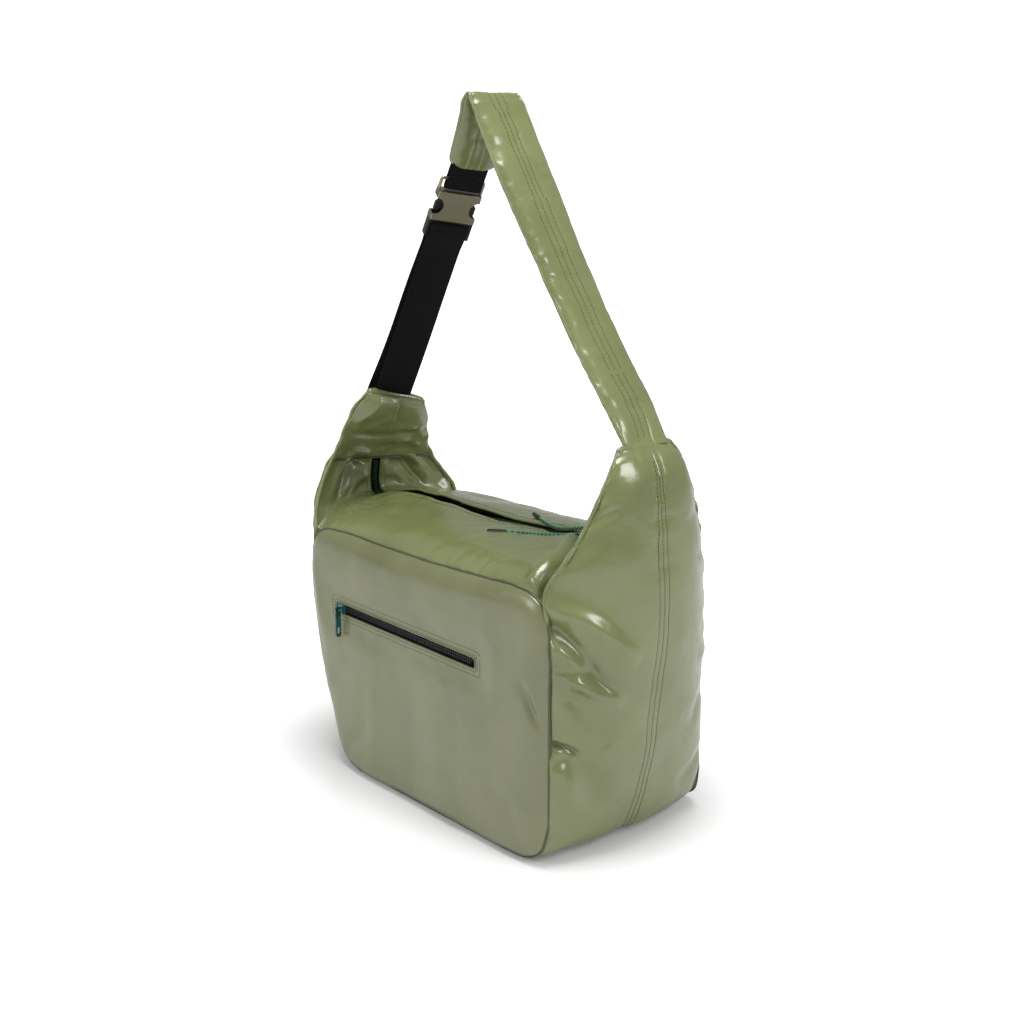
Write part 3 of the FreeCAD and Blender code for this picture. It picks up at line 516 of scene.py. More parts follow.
def ramp(tree, shader, source, stops):
    """Base colour from a ramp through stops of (place, colour code)."""
    node = add(tree, "ShaderNodeValToRGB", {"Fac": source})
    while len(node.color_ramp.elements) < len(stops):
        node.color_ramp.elements.new(0.5)
    for element, (place, code) in zip(node.color_ramp.elements, stops):
        element.position, element.color = place, colour(code)
    tree.links.new(node.outputs["Color"], shader.inputs["Base Color"])


def speckle(tree, place, scale, detail, **settings):
    """Value of a noise texture."""
    return add(tree, "ShaderNodeTexNoise", {"Vector": place}, Scale=scale, Detail=detail,
               **settings).outputs["Fac"]


def stripes(tree, place, turn, **settings):
    """Value of a wave texture with that many mm to a radian."""
    return add(tree, "ShaderNodeTexWave", {"Vector": place}, Scale=1 / (turn * MM) / WAVE_RADIANS,
               Distortion=0.0, **settings).outputs["Fac"]


def sums(tree, operation, first, second=None, **settings):
    """Value of a maths node on one socket or two."""
    links = {0: first} if second is None else {0: first, 1: second}
    return add(tree, "ShaderNodeMath", links, operation=operation, **settings).outputs["Value"]


def spread(tree, source, **settings):
    """Value of a map range node: i1 and i2 are the range read, i3 and i4 the one given."""
    return add(tree, "ShaderNodeMapRange", {"Value": source}, **settings).outputs["Result"]


def bumps(tree, shader, *layers):
    """Chain of bumps: each layer is a height, a strength and a distance in metres."""
    normal = {}
    for height, strength, distance in layers:
        node = add(tree, "ShaderNodeBump", {"Height": height, **normal}, Strength=strength,
                   Distance=distance)
        normal = {"Normal": node.outputs["Normal"]}
    tree.links.new(node.outputs["Normal"], shader.inputs["Normal"])


def surface(shader, **values):
    """Sets a shader's inputs by name."""
    for key, value in values.items():
        shader.inputs[key.replace("_", " ")].default_value = value


def coated_nylon(name, light, deep, roughness, crumple):
    """Calendered polyamide taffeta: a fine weave pressed smooth and shiny.  It gives crisp
    white lights on every fold and a slightly uneven olive between them."""
    made, tree, shader, place = material(name)
    cloud = speckle(tree, place, 14.0, 3.0)
    ramp(tree, shader, cloud, [(0.35, deep), (0.65, light)])
    # crumples about 22 mm across and finer ones about 6 mm across
    broad = speckle(tree, place, 1 / 0.022, 2.0, Roughness=0.45, Distortion=0.6)
    fine = speckle(tree, place, 1 / 0.006, 2.0, Roughness=0.5, Distortion=0.4)
    # a faint broad grid: the real weave is too fine to show
    grid = sums(tree, "MULTIPLY", *(stripes(tree, place, GRID_TURN, bands_direction=way)
                                    for way in ("X", "Z")))
    bumps(tree, shader, (broad, crumple, 0.0022), (fine, crumple * 0.6, 0.0005),
          (grid, 0.12, 0.00008))
    wear = spread(tree, cloud, i3=roughness - 0.05, i4=roughness + 0.07)
    tree.links.new(wear, shader.inputs["Roughness"])
    surface(shader, IOR=1.53, Specular_IOR_Level=0.75, Coat_Weight=0.25, Coat_Roughness=0.16)
    return made


def spun_thread(name, light, deep):
    """Bonded polyester thread: a matt twisted yarn, a shade darker than the cloth."""
    made, tree, shader, place = material(name)
    ramp(tree, shader, speckle(tree, place, 900.0, 1.0), [(0.3, deep), (0.7, light)])
    surface(shader, Roughness=0.55)
    return made


def woven_webbing(name, light, deep):
    """Woven polyester or polypropylene: slanting ribs broken up by yarns, which give the
    black band a fine rolling sheen."""
    made, tree, shader, place = material(name, "UV")
    turned = add(tree, "ShaderNodeMapping", {"Vector": place}, Rotation=(0, 0, math.radians(38)))
    both = sums(tree, "MULTIPLY", stripes(tree, turned.outputs["Vector"], RIB_TURN),
                speckle(tree, place, 1 / (0.4 * MM), 1.0))
    ramp(tree, shader, both, [(0.05, deep), (0.6, light)])
    bumps(tree, shader, (both, 0.5, 0.0004))
    surface(shader, Roughness=0.8, Specular_IOR_Level=0.2, Sheen_Weight=0.03, Sheen_Roughness=0.4)
    return made


def moulded_plastic(name, light, deep, roughness):
    """Moulded acetal: dense, slightly waxy plastic with a faint spark-eroded grain."""
    made, tree, shader, place = material(name)
    spark = speckle(tree, place, 1 / (0.9 * MM), 2.0)
    ramp(tree, shader, spark, [(0.3, deep), (0.7, light)])
    bumps(tree, shader, (spark, 0.15, 0.0001))
    surface(shader, Roughness=roughness)
    return made


def brushed_metal(name, light, deep):
    """Nickel-plated zinc brushed one way: fine lines along the buckle that draw its lights
    out sideways."""
    made, tree, shader, place = material(name)
    line = add(tree, "ShaderNodeMapping", {"Vector": place}, Rotation=(0, math.radians(28.5), 0),
               Scale=(1.0, 1.0, 0.04))
    brush = speckle(tree, line.outputs["Vector"], 1 / (0.35 * MM), 3.0)
    ramp(tree, shader, brush, [(0.3, deep), (0.7, light)])
    tree.links.new(spread(tree, brush, i3=0.28, i4=0.44), shader.inputs["Roughness"])
    bumps(tree, shader, (brush, 0.12, 0.0001))
    surface(shader, Metallic=1.0)
    return made


def stove_enamel(name, light, deep):
    """Stoved enamel over zinc: a hard glossy film that thins to a darker tone."""
    made, tree, shader, place = material(name)
    flow = speckle(tree, place, 120.0, 2.0)
    ramp(tree, shader, flow, [(0.3, deep), (0.7, light)])
    bumps(tree, shader, (flow, 0.08, 0.0002))
    surface(shader, Metallic=0.35, Roughness=0.26, Coat_Weight=0.5)
    return made


def braid(name, length):
    """Braided polyester cord: black yarns with a green and a white carrier that cross in a
    zigzag, one crossing about every 4.5 mm."""
    ground, first, second = "#0d0f0e", "#3fa468", "#d7e6d8"
    made, tree, shader, place = material(name, "UV")
    parts = add(tree, "ShaderNodeSeparateXYZ", {"Vector": place})
    run = sums(tree, "MULTIPLY", parts.outputs["X"], i1=length / 4.5)
    fold = sums(tree, "PINGPONG", run, i1=0.5)
    around = sums(tree, "MULTIPLY", parts.outputs["Y"], i1=2.0)
    yarns = sums(tree, "FRACT", sums(tree, "ADD", fold, around))
    ramp(tree, shader, yarns, [
        (0.0, ground), (0.30, ground), (0.34, first), (0.56, first), (0.60, ground),
        (0.70, ground), (0.74, second), (0.88, second), (0.92, ground)])
    bumps(tree, shader, (yarns, 0.5, 0.0005))
    surface(shader, Roughness=0.6)
    return made


SHELL = coated_nylon("calendered_nylon_olive", "#7a8150", "#6f7648", 0.23, 0.34)
# dark seam nylon: its colour is painted shade of the crevice where two fabrics meet, darker than the
# shell's own olive
SEAM_PAINTED_SHADE = coated_nylon("calendered_nylon_seam_painted_shade", "#474c2f", "#343822", 0.42, 0.2)
PANEL_CLOTH = coated_nylon("calendered_nylon_panel", "#777a52", "#6d704a", 0.31, 0.15)
LINING = coated_nylon("lining_taffeta", "#2c2f26", "#24261f", 0.5, 0.2)
THREAD = spun_thread("polyester_thread_olive", "#5a6040", "#474c2e")
WEBBING = woven_webbing("polypropylene_webbing_black", "#0b0b0e", "#050507")
TAPE = woven_webbing("polyester_zip_tape_black", "#121414", "#08090a")
TEETH = moulded_plastic("moulded_acetal_teeth_charcoal", "#40454a", "#2b2f31", 0.38)
GREEN_TEETH = moulded_plastic("moulded_acetal_teeth_green", "#2f5f38", "#0b0e0c", 0.4)
ACETAL = moulded_plastic("moulded_acetal_black", "#141416", "#0b0b0c", 0.36)
TIP = moulded_plastic("moulded_cord_tip_black", "#121213", "#090909", 0.3)
NICKEL = brushed_metal("brushed_nickel", "#a9a08e", "#8a8271")
ENAMEL = stove_enamel("stoved_enamel_teal", "#1f6a66", "#0d3b3a")
BLACK_ENAMEL = stove_enamel("stoved_enamel_black", "#16181a", "#08090a")
CORD_LONG = braid("braided_cord_long", LONG_LENGTH)
CORD_SHORT = braid("braided_cord_short", SHORT_LENGTH)


def dress(obj, finish, body=None, stands_for=()):
    """Gives a piece its material, its body and the nodes it stands for."""
    obj.data.materials.clear()
    obj.data.materials.append(finish)
    if body:
        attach(obj, body)
    if stands_for:
        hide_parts(*stands_for)
    return obj


# ------------------------------------------------------------------ camera, floor, light
CAMERA_PLACE = (1.0771, -0.9272, 0.657)     # metres
CAMERA_DOWN = 15.233                        # degrees below level
CAMERA_TURN = math.atan2(0.7524, 0.6587)
SENSOR, LENS = 36.0, 54.74
FLOOR_HALF, FLOOR_DROP = 30.0, 0.0004       # metres


def set_stage():
    """Camera in front of the bag's right side, a pale floor and soft studio lights."""
    scene = bpy.context.scene
    scene.view_settings.view_transform = "Standard"
    data = bpy.data.cameras.new("camera")
    data.sensor_width, data.lens = SENSOR, LENS
    camera = bpy.data.objects.new("camera", data)
    scene.collection.objects.link(camera)
    camera.location = CAMERA_PLACE
    camera.rotation_euler = (math.radians(90 - CAMERA_DOWN), 0, CAMERA_TURN)
    scene.camera = camera

    size = FLOOR_HALF
    mesh = bpy.data.meshes.new("floor")
    mesh.from_pydata([(-size, -size, 0), (size, -size, 0), (size, size, 0), (-size, size, 0)],
                     [], [(0, 1, 2, 3)])
    floor = bpy.data.objects.new("floor", mesh)
    floor.location.z = -FLOOR_DROP
    scene.collection.objects.link(floor)
    paint, tree, shader, place = material("matt_white_floor")
    surface(shader, Base_Color=(0.86, 0.86, 0.86, 1), Roughness=0.9, Specular_IOR_Level=0.1,
            Emission_Color=(1, 1, 1, 1))
    # the floor's own glow grows with the distance from the bag, and lights nothing else much
    far = add(tree, "ShaderNodeVectorMath", {"Vector": place}, operation="LENGTH")
    glow = spread(tree, far.outputs["Value"], i1=0.16, i2=0.62, i3=0.06, i4=1.1)
    to_camera = add(tree, "ShaderNodeLightPath").outputs["Is Camera Ray"]
    shown = sums(tree, "MULTIPLY", glow, spread(tree, to_camera, i3=0.12, i4=1.0))
    tree.links.new(shown, shader.inputs["Emission Strength"])
    mesh.materials.append(paint)

    world = bpy.data.worlds.new("studio")
    world.use_nodes = True
    scene.world = world
    nodes, links = world.node_tree.nodes, world.node_tree.links
    behind = nodes["Background"]
    behind.inputs["Color"].default_value = (0.95, 0.97, 1.0, 1)
    behind.inputs["Strength"].default_value = 0.36
    white = nodes.new("ShaderNodeBackground")
    white.inputs["Color"].default_value = (1, 1, 1, 1)
    white.inputs["Strength"].default_value = 1.15
    path, mix = nodes.new("ShaderNodeLightPath"), nodes.new("ShaderNodeMixShader")
    links.new(path.outputs["Is Camera Ray"], mix.inputs["Fac"])
    links.new(behind.outputs[0], mix.inputs[1])
    links.new(white.outputs[0], mix.inputs[2])
    links.new(mix.outputs[0], nodes["World Output"].inputs["Surface"])

    def soft_box(name, place, target, wide, tall, power):
        """Rectangular lamp turned to its target, in metres and watts."""
        lamp = bpy.data.lights.new(name, "AREA")
        lamp.shape, lamp.size, lamp.size_y, lamp.energy = "RECTANGLE", wide, tall, power
        lit = bpy.data.objects.new(name, lamp)
        lit.location = place
        aim = np.array(target) - np.array(place)
        lit.rotation_euler = (math.atan2(math.hypot(aim[0], aim[1]), -aim[2]), 0,
                              math.atan2(aim[1], aim[0]) - math.pi / 2)
        scene.collection.objects.link(lit)

    soft_box("top_light", (0.2, -0.1, 2.2), (0, 0, 0.2), 1.0, 1.0, 31)
    soft_box("right_light", (2.0, 0.3, 1.5), (0.1, 0, 0.25), 0.5, 1.1, 16)
    soft_box("front_light", (-0.5, -2.0, 1.3), (0, 0, 0.2), 1.0, 1.0, 13)


# ------------------------------------------------------------------ pull cords
def pull_cords():
    """Two braided cords on the main slider, each a smooth spline ending in a dipped tip."""
    jobs = (("pull_cord_long", LONG_CORD, LONG_LENGTH, CORD_LONG, "cord_tip_long"),
            ("pull_cord_short", SHORT_CORD, SHORT_LENGTH, CORD_SHORT, "cord_tip_short"))
    for name, route, length, finish, tip_node in jobs:
        curve = bpy.data.curves.new(name + "_braid", "CURVE")
        curve.dimensions = "3D"
        spline = curve.splines.new("NURBS")
        spline.points.add(len(route) - 1)
        for point, (x, y, z) in zip(spline.points, route):
            point.co = (x * MM, y * MM, z * MM, 1.0)
        spline.order_u = 3
        spline.use_endpoint_u = True
        curve.resolution_u = 24
        curve.bevel_depth = CORD_WIDTH / 2 * MM
        curve.bevel_resolution = 4
        curve.use_fill_caps = True
        obj = bpy.data.objects.new(name + "_braid", curve)
        bpy.context.scene.collection.objects.link(obj)
        dress(obj, finish, "cord_pull", (name,))
        end = np.array(route[-1], float)
        heading = end - np.array(route[-2], float)
        heading /= np.linalg.norm(heading)
        shares = np.array([0, 0.02, 0.06, 0.15, 0.5, 0.85, 0.94, 0.98, 1.0])
        sizes = np.array([0.84, 0.95, 1.0, 1.0, 0.97, 0.95, 0.9, 0.74, 0.45]) * TIP_WIDTH / 2
        path = end + heading * (shares * TIP_LENGTH)[:, None]
        tip = bead(tip_node + "_dipped", path, sizes, around=18, across=(0, 0, 1))
        dress(tip, TIP, "cord_pull", (tip_node,))


# ------------------------------------------------------------------ bag shell
def band(rows):
    """Stations of a band round the bag: seam x and z, half width, middle x and z at each,
    and the distance along."""
    table = np.asarray(rows, float)
    k = lengths(np.column_stack([table[:, [0, 1]], table[:, [3, 4]]]) / math.sqrt(2))
    at = np.linspace(0, k[-1], int(k[-1] / STATION) + 1)
    return through(table, k, at), at


def band_grid(stations, across, fullness=2.5):
    """Points of a band: across goes from -1 at the front seam to 1 at the back, and each
    line across bows from the seams to the middle by 1 less |across| to a power."""
    seam, middle = stations[:, None, 0:2], stations[:, None, 3:5]
    share = (1 - np.abs(across) ** fullness)[None, :, None]
    flat = seam + (middle - seam) * share
    y = across[None, :] * stations[:, 2:3]
    return np.stack([flat[..., 0], y, flat[..., 1]], axis=-1)


def across_steps(half, coarse, fine, middle):
    """Shares from -1 to 1 whose spacing in mm is coarse, and fine within the middle."""
    outer = np.linspace(-half, -middle, int((half - middle) / coarse) + 1)
    inner = np.linspace(-middle, middle, int(2 * middle / fine) + 1)
    return np.concatenate([outer[:-1], inner, -outer[::-1][1:]]) / half


def ticks(flat, scale, width, seed):
    """Short sharp valleys: where one noise passes through nought and a second is high."""
    return crease(noise(flat, scale, seed), width) * rise(noise(flat, (38, 34), seed + 1), 0.05, 0.4)


def gusset_relief(grid, at):
    """Outward relief of the gusset, in mm: filling that bulges between lines of stitching,
    seams drawn in, puckers that fade away from a seam, and the long folds of its sides."""
    x, y, z = grid[..., 0], grid[..., 1], grid[..., 2]
    edge = np.abs(y).max(axis=1, keepdims=True) - np.abs(y)
    s = np.broadcast_to(at[:, None], y.shape)
    flat = np.stack([s, y], axis=-1)
    high = rise(z, HORN_FOOT, 330)
    left = rise(-x, 0, 60)
    flat_foot = rise(z, 0, 16)

    amount = 1.8 * noise(flat, (70, 52), 3) + 0.7 * noise(flat, (30, 26), 4)
    amount += (0.9 * high + 0.6 * left) * ticks(flat, (44, 22), 0.3, 5)
    amount += 3.2 * (1 - fade(edge, 7))
    pucker = noise2(s, edge * 0.22, (8, 12), 7)
    amount += (0.9 + 0.8 * high) * pucker * fade(edge, 9) * rise(edge, 0, 4)
    centre = np.maximum(np.abs(y) - ROW_GAP, 0)
    ripple = noise2(s, y * 0.2, (7, 10), 8)
    amount += (0.25 + 0.7 * high) * ripple * fade(centre, 7)
    amount -= (0.8 + 0.8 * high) * fade(centre, 14)
    for row in ROWS:
        amount -= 0.4 * bell(y - row, 0.8)
    amount += rise(x, 140, 168) * folded(y, z, SIDE_FOLDS)
    amount += rise(-x, 110, 150) * folded(-y, z, SIDE_FOLDS)
    ruck = noise2(s, edge * 0.5, (6.5, 20), 9)
    amount += high * 0.8 * ruck * fade(edge, 9) * rise(edge, 0, 3)
    amount *= 0.12 + 0.88 * flat_foot
    tip = rise(np.minimum(at - at[0], at[-1] - at), 0, 16)
    return amount * (0.25 + 0.75 * tip)[:, None]


def gusset():
    """One puffed band of nylon from horn top to horn top round the sides and the bottom."""
    stations, at = band(OUTER)
    across = across_steps(SEAM_HALF, 2.3, 0.75, 10)
    grid = band_grid(stations, across)
    # out of the bag is against the cross product of along and across
    grid = pushed(grid, gusset_relief(grid, at), -1)
    grid = horn_lean(grid)
    grid[..., 2] = np.maximum(grid[..., 2], 0.3)
    obj = sheet_of("gusset_cover", grid, flip=True, wall=2.4)
    dress(obj, SHELL, "bag", ("gusset_front_half", "gusset_back_half"))
    rows = [np.argmin(np.abs(across * SEAM_HALF - row)) for row in ROWS]
    out = -normals(grid)
    sewn = stitches("gusset_topstitch", [grid[6:-6, c] for c in rows],
                    [out[6:-6, c] for c in rows])
    dress(sewn, THREAD, "bag")


def lining():
    """Slack lining bag hung inside: the panels' outline drawn in and carried from front to
    back, closed at both ends."""
    edge = panel_outline(5.0)
    depth = np.linspace(-78, 78, 40)
    share = 1 - np.abs(depth / 84) ** 2.6
    drawn = edge * np.array([0.90, 0.90]) + np.array([0, 13])
    slack = 1.6 * noise(np.concatenate([drawn, drawn[:, :1] * 0], axis=1), (40, 40, 40), 101)
    wide = drawn[None, :, 0] * (1 + 0.03 * share[:, None]) + slack
    tall = drawn[None, :, 1] + (drawn[None, :, 1] > 150) * 7 * share[:, None]
    y = np.broadcast_to(depth[:, None], wide.shape)
    bag = tube_of("lining_bag", np.stack([wide, y, tall], axis=-1))
    dress(bag, LINING, "bag", ("lining",))


def panel_outline(spacing):
    """Closed smooth outline of the front panel, x and z, without its repeated last point."""
    return smooth_path(PANEL, spacing, closed=True)[:-1]


def seam_depth(z):
    """Half depth of the bag at the panel seams, drawn out 5 mm along the bottom."""
    return SEAM_HALF + 5 * (1 - rise(z, 0, 60))


def panel_surface(side, rings=62):
    """Crowned panel: rings from its middle to its outline, bulged outward by 1 less the
    ring's share to a power, with seam puckers and soft upright waves."""
    spacing = 2.6
    edge = panel_outline(spacing)
    centre = np.array([2.0, 128.0])
    share = np.linspace(0, 1, rings) ** 0.8
    flat = centre + share[:, None, None] * (edge - centre)[None]
    x, z = flat[..., 0], flat[..., 1]
    s = lengths(edge)
    away = (1 - share[:, None]) * np.linalg.norm(edge - centre, axis=1)[None]
    crown = 9.5 * (1 - fade(away, 9)) + 1.2 * (1 - share[:, None] ** 2)
    flat2 = np.stack([x, z], axis=-1)
    waves = 1.1 * noise(flat2, (52, 170), 21 + side) + 0.5 * noise(flat2, (95, 40), 22 + side)
    waves += 0.35 * noise(flat2, (16, 90), 23 + side)
    if side < 0:
        waves += folded(x, z, PANEL_FOLDS)
    turn = s[-1] + spacing
    angle = s / turn * 2 * math.pi
    loop = np.stack([np.cos(angle), np.sin(angle)], axis=-1) * turn / (2 * math.pi)
    place = np.concatenate([np.broadcast_to(loop, (*x.shape, 2)), away[..., None] * 0.25], axis=-1)
    strong = 0.5 + 0.9 * bell(x - 75, 85) * rise(z, 150, 230)
    pucker = strong * noise(place, (7.5, 7.5, 9), 24 + side) * fade(away, 9) * rise(away, 0, 3)
    lift = crown + waves * rise(away, 0, 20) + pucker
    if side < 0:
        # room for the front puller to hang
        lift -= 1.6 * bell(x + 116, 11) * bell(z - 143, 17)
    return x, z, lift


def weld_first(obj):
    """Welds a closed sheet's two ends together before its other modifiers."""
    weld = obj.modifiers.new("weld", "WELD")
    weld.merge_threshold = 0.00002
    obj.modifiers.move(len(obj.modifiers) - 1, 0)


def front_panel():
    """Front panel with the zip's window cut through it and its edge folded in."""
    x, z, lift = panel_surface(-1)
    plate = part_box("front_zip_tape_upper"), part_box("front_zip_tape_lower")
    left, right = plate[0][0].x / MM, plate[0][1].x / MM
    low, high = plate[1][0].z / MM, plate[0][1].z / MM
    beyond = np.hypot(np.maximum(np.maximum(left - x, x - right), 0),
                      np.maximum(np.maximum(low - z, z - high), 0))
    near = 1 - rise(beyond, 3, 34)
    flat_lift = TAPE_FACE - seam_depth(z)
    lift = lift * (1 - near) + (flat_lift + 0.35 * noise2(x, z, (16, 9), 31)) * near
    y = -(seam_depth(z) + lift)
    grid = closed(np.stack([x, y, z], axis=-1))
    obj = sheet_of("front_panel_cover", grid, flip=True, wall=2.2)
    cut_box = (left + 1.5, right - 1.5, low + 1.2, high - 1.2)
    cutter = window_cutter(cut_box, -115, -85)
    weld_first(obj)
    cut = obj.modifiers.new("window", "BOOLEAN")
    cut.operation, cut.solver, cut.object = "DIFFERENCE", "EXACT", cutter
    settle(obj)
    bpy.data.objects.remove(cutter)
    dress(obj, PANEL_CLOTH, "bag", ("front_panel",))
    return grid, cut_box


def settle(obj):
    """Puts the result of an object's modifiers into its mesh."""
    bpy.context.view_layer.update()
    graph = bpy.context.evaluated_depsgraph_get()
    done = bpy.data.meshes.new_from_object(obj.evaluated_get(graph))
    obj.modifiers.clear()
    obj.data = done
    done.polygons.foreach_set("use_smooth", np.ones(len(done.polygons), bool))


def round_corners(left, right, low, high, radius):
    """Points of a rectangle with round corners, five to a corner."""
    turn = np.linspace(0, math.pi / 2, 5)
    centres = ((right - radius, high - radius), (left + radius, high - radius),
               (left + radius, low + radius), (right - radius, low + radius))
    return np.concatenate([np.stack([cx + radius * np.cos(turn + q * math.pi / 2),
                                     cz + radius * np.sin(turn + q * math.pi / 2)], axis=-1)
                           for q, (cx, cz) in enumerate(centres)])


def window_cutter(box, near, far):
    """Block with round corners that cuts the zip's window."""
    rim = round_corners(*box, WINDOW_RADIUS)
    rows = [np.stack([rim[:, 0], np.full(len(rim), y), rim[:, 1]], axis=-1) for y in (near, far)]
    return tube_of("window_cutter", np.stack(rows))


def round_window(box, grow, grid):
    """Closed path on the panel round the window, that far outside it: each point takes the
    y of the grid's nearest point."""
    left, right, low, high = box
    rim = round_corners(left - grow, right + grow, low - grow, high + grow, ROW_RADIUS)
    rim = np.vstack([rim, rim[:1]])
    k = lengths(rim)
    at = np.linspace(0, k[-1], int(k[-1] / 2.0) + 1)
    x, z = (np.interp(at, k, rim[:, n]) for n in (0, 1))
    flat = grid[..., [0, 2]].reshape(-1, 2)
    found = [np.argmin(((flat - p) ** 2).sum(axis=1)) for p in np.stack([x, z], axis=-1)]
    return np.stack([x, grid[..., 1].reshape(-1)[found], z], axis=-1)


def front_window(grid, box):
    """Folded edge of the window and the two rows of stitching round it."""
    fold = round_window(box, 0.3, grid) - [0, 0.1, 0]
    dress(bead("front_window_fold", fold, 0.8), PANEL_CLOTH, "bag")
    rows = [round_window(box, grow, grid) for grow in (2.6, 6.4)]
    out = [np.broadcast_to([0.0, -1.0, 0.0], row.shape) for row in rows]
    sewn = stitches("front_window_topstitch", rows, out, pitch=3.0, long=2.4, wide=0.45)
    dress(sewn, THREAD, "bag")


def back_panel():
    """Plain crowned back panel with a flat slip pocket sewn to its lower half."""
    x, z, lift = panel_surface(1)
    y = seam_depth(z) + np.minimum(lift, 7.5 + 0.2 * lift)
    grid = closed(np.stack([x, y, z], axis=-1))
    obj = sheet_of("back_panel_cover", grid, flip=False, wall=2.2)
    weld_first(obj)
    settle(obj)
    dress(obj, PANEL_CLOTH, "bag", ("back_panel",))
    low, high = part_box("back_slip_pocket")
    u = np.linspace(0, 1, 120)
    v = np.linspace(0, 1, 56)
    left, right, base, top = low.x / MM, high.x / MM, low.z / MM, high.z / MM
    px = left + (right - left) * u[:, None] + 0 * v[None, :]
    pz = base + (top - base) * v[None, :] - 2.5 * np.sin(math.pi * u)[:, None] * v[None, :] ** 3
    rim = np.minimum(np.minimum(px - left, right - px), pz - base)
    flat = np.stack([px, pz], -1)
    by_seam = fade(rim, 7)
    py = 103.2 + 3.6 * rise(rim, 0, 16) + 0.8 * noise(flat, (40, 70), 41)
    py += -0.8 * bell(rim - 4, 1.0) + 0.5 * noise(flat, (9, 9), 42) * by_seam
    pocket = np.stack([px, py, pz], axis=-1)
    cloth = sheet_of("slip_pocket_cover", pocket, flip=True, wall=1.6)
    dress(cloth, PANEL_CLOTH, "bag", ("back_slip_pocket",))
    hem = bead("slip_pocket_hem", pocket[:, -1] + np.array([0, 0.1, 0]), 1.3)
    dress(hem, PANEL_CLOTH, "bag")
    sides = [pocket[2, 2:], pocket[-3, 2:], pocket[2:-2, 2], pocket[2:-2, -5]]
    out = [np.broadcast_to([0.0, 1.0, 0.0], p.shape) for p in sides]
    dress(stitches("slip_pocket_topstitch", sides, out), THREAD, "bag")


def seam_rolls():
    """Rolled seam round each panel: a thin bead that swells and pinches a little, in the dark seam nylon,
    whose colour is painted shade of the crevice between the fabrics.
    """
    edge = panel_outline(2.0)
    edge = np.vstack([edge, edge[:1]])
    for side, name, node in ((-1, "front", "front_piping"), (1, "back", "back_piping")):
        y = side * (seam_depth(edge[:, 1]) + 0.2)
        path = np.stack([edge[:, 0], y, edge[:, 1]], axis=-1)
        s = lengths(path)
        size = 0.8 + 0.15 * noise(s[:, None], (11,), 51 + side)
        path = np.maximum(path, [-1e9, -1e9, 1.2])
        roll = bead(name + "_seam_roll", path, size)
        # the roll's dark colour is painted shade of the seam's crevice
        dress(roll, SEAM_PAINTED_SHADE, "bag", (node,))


# ------------------------------------------------------------------ top and horns
def horn_lean(grid):
    """Turn the left horn about its foot: its back edge sits lower and nearer the middle."""
    x, y, z = grid[..., 0], grid[..., 1], grid[..., 2]
    high = rise(z, 248, 330) * rise(-x, 130, 150)
    tip = rise(z, 296, 365) * rise(-x, 130, 150)
    return grid + np.stack([0.2 * y * tip, -0.17 * y * tip, -0.2 * y * high - 5 * tip], axis=-1)


def inner_relief(grid, at, join):
    """Upward relief of the top and of the horns' inner faces: soft puffs, puckers along the
    seams, short folds by the zip and a deep tuck from the panel's corner to the slider."""
    x, y, z = grid[..., 0], grid[..., 1], grid[..., 2]
    edge = np.abs(y).max(axis=1, keepdims=True) - np.abs(y)
    s = np.broadcast_to(at[:, None], y.shape)
    flat = np.stack([s, y], axis=-1)
    horn = np.minimum(rise(z, HORN_FOOT, 296) + rise(-x, 172, 186), 1)
    amount = 1.5 * noise(flat, (58, 36), 61) + 0.6 * noise(flat, (26, 20), 62)
    amount += (0.5 + 1.2 * horn) * ticks(flat, (16, 40), 0.3, 63)
    amount += 3.0 * (1 - fade(edge, 8))
    strong = 0.5 + 1.2 * bell(x - 60, 95)
    pucker = noise2(s, edge * 0.2, (6, 9), 65)
    amount += 1.7 * strong * pucker * fade(edge, 10) * rise(edge, 0, 3.5)
    by_zip = np.abs(y) - join
    slant = noise2(s + 0.9 * by_zip, by_zip * 0.16, (9, 11), 66)
    amount += 1.7 * slant * fade(by_zip, 22) * rise(by_zip, 1, 6) * (1 - 0.5 * horn)
    # deep tuck beside the right horn, on the line from the corner to the slider
    line = through([(161, 94), (158, 67), (146, 38), (128, 10)], [0, 1, 2, 3], np.linspace(0, 3, 40))
    where = np.interp(np.abs(y), line[::-1, 1], line[::-1, 0])
    reach = rise(np.abs(y), 6, 26) * rise(edge, 0, 7)
    amount += reach * (-17.0 * bell(x - where, 3.6) + 6.5 * bell(x - where + 14, 8.5))
    # the front half stands up before the zip near the left horn and hides its foot
    stand = (y < 0) * bell(x + 112, 62) * (1 - rise(-x, 164, 178))
    amount += stand * 10.0 * fade(by_zip, 30)
    # gathers above the zip's left end and a hollow where the horn rises out of the top
    gather = folded(y, z, [
        ([(-8, 290), (-30, 298), (-52, 276), (-66, 254)], 4.5, 4.2),
        ([(-12, 284), (-28, 286), (-46, 266), (-58, 250)], 3.6, -5.0),
        ([(-10, 270), (-22, 268), (-40, 250)], 4, 3.2),
        ([(46, 330), (20, 322), (-8, 316), (-46, 318)], 3.4, -4.4),
        ([(50, 322), (24, 330), (-10, 326), (-44, 330)], 4.5, 3.4),
        ([(40, 312), (16, 306), (-10, 300)], 3.4, -3.6), ([(46, 306), (26, 312), (8, 312)], 4, 3.0),
        ([(4, 352), (-14, 342), (-36, 322)], 5, -3.4), ([(-22, 356), (-34, 340), (-44, 326)], 3.2, 3.0),
        ([(6, 292), (20, 300), (44, 300)], 4, -2.6), ([(4, 300), (22, 312), (44, 314)], 5, 2.4),
        ([(-14, 280), (-30, 268), (-54, 258)], 5, 2.2), ([(-12, 288), (-34, 284), (-58, 270)], 4, -2.6),
    ])
    amount += rise(-x, 140, 170) * gather
    amount *= 1 - 0.9 * (join < 100) * horn * fade(by_zip, 7)
    return amount * rise(np.minimum(at - at[0], at[-1] - at) + 3, 0, 12)[:, None]


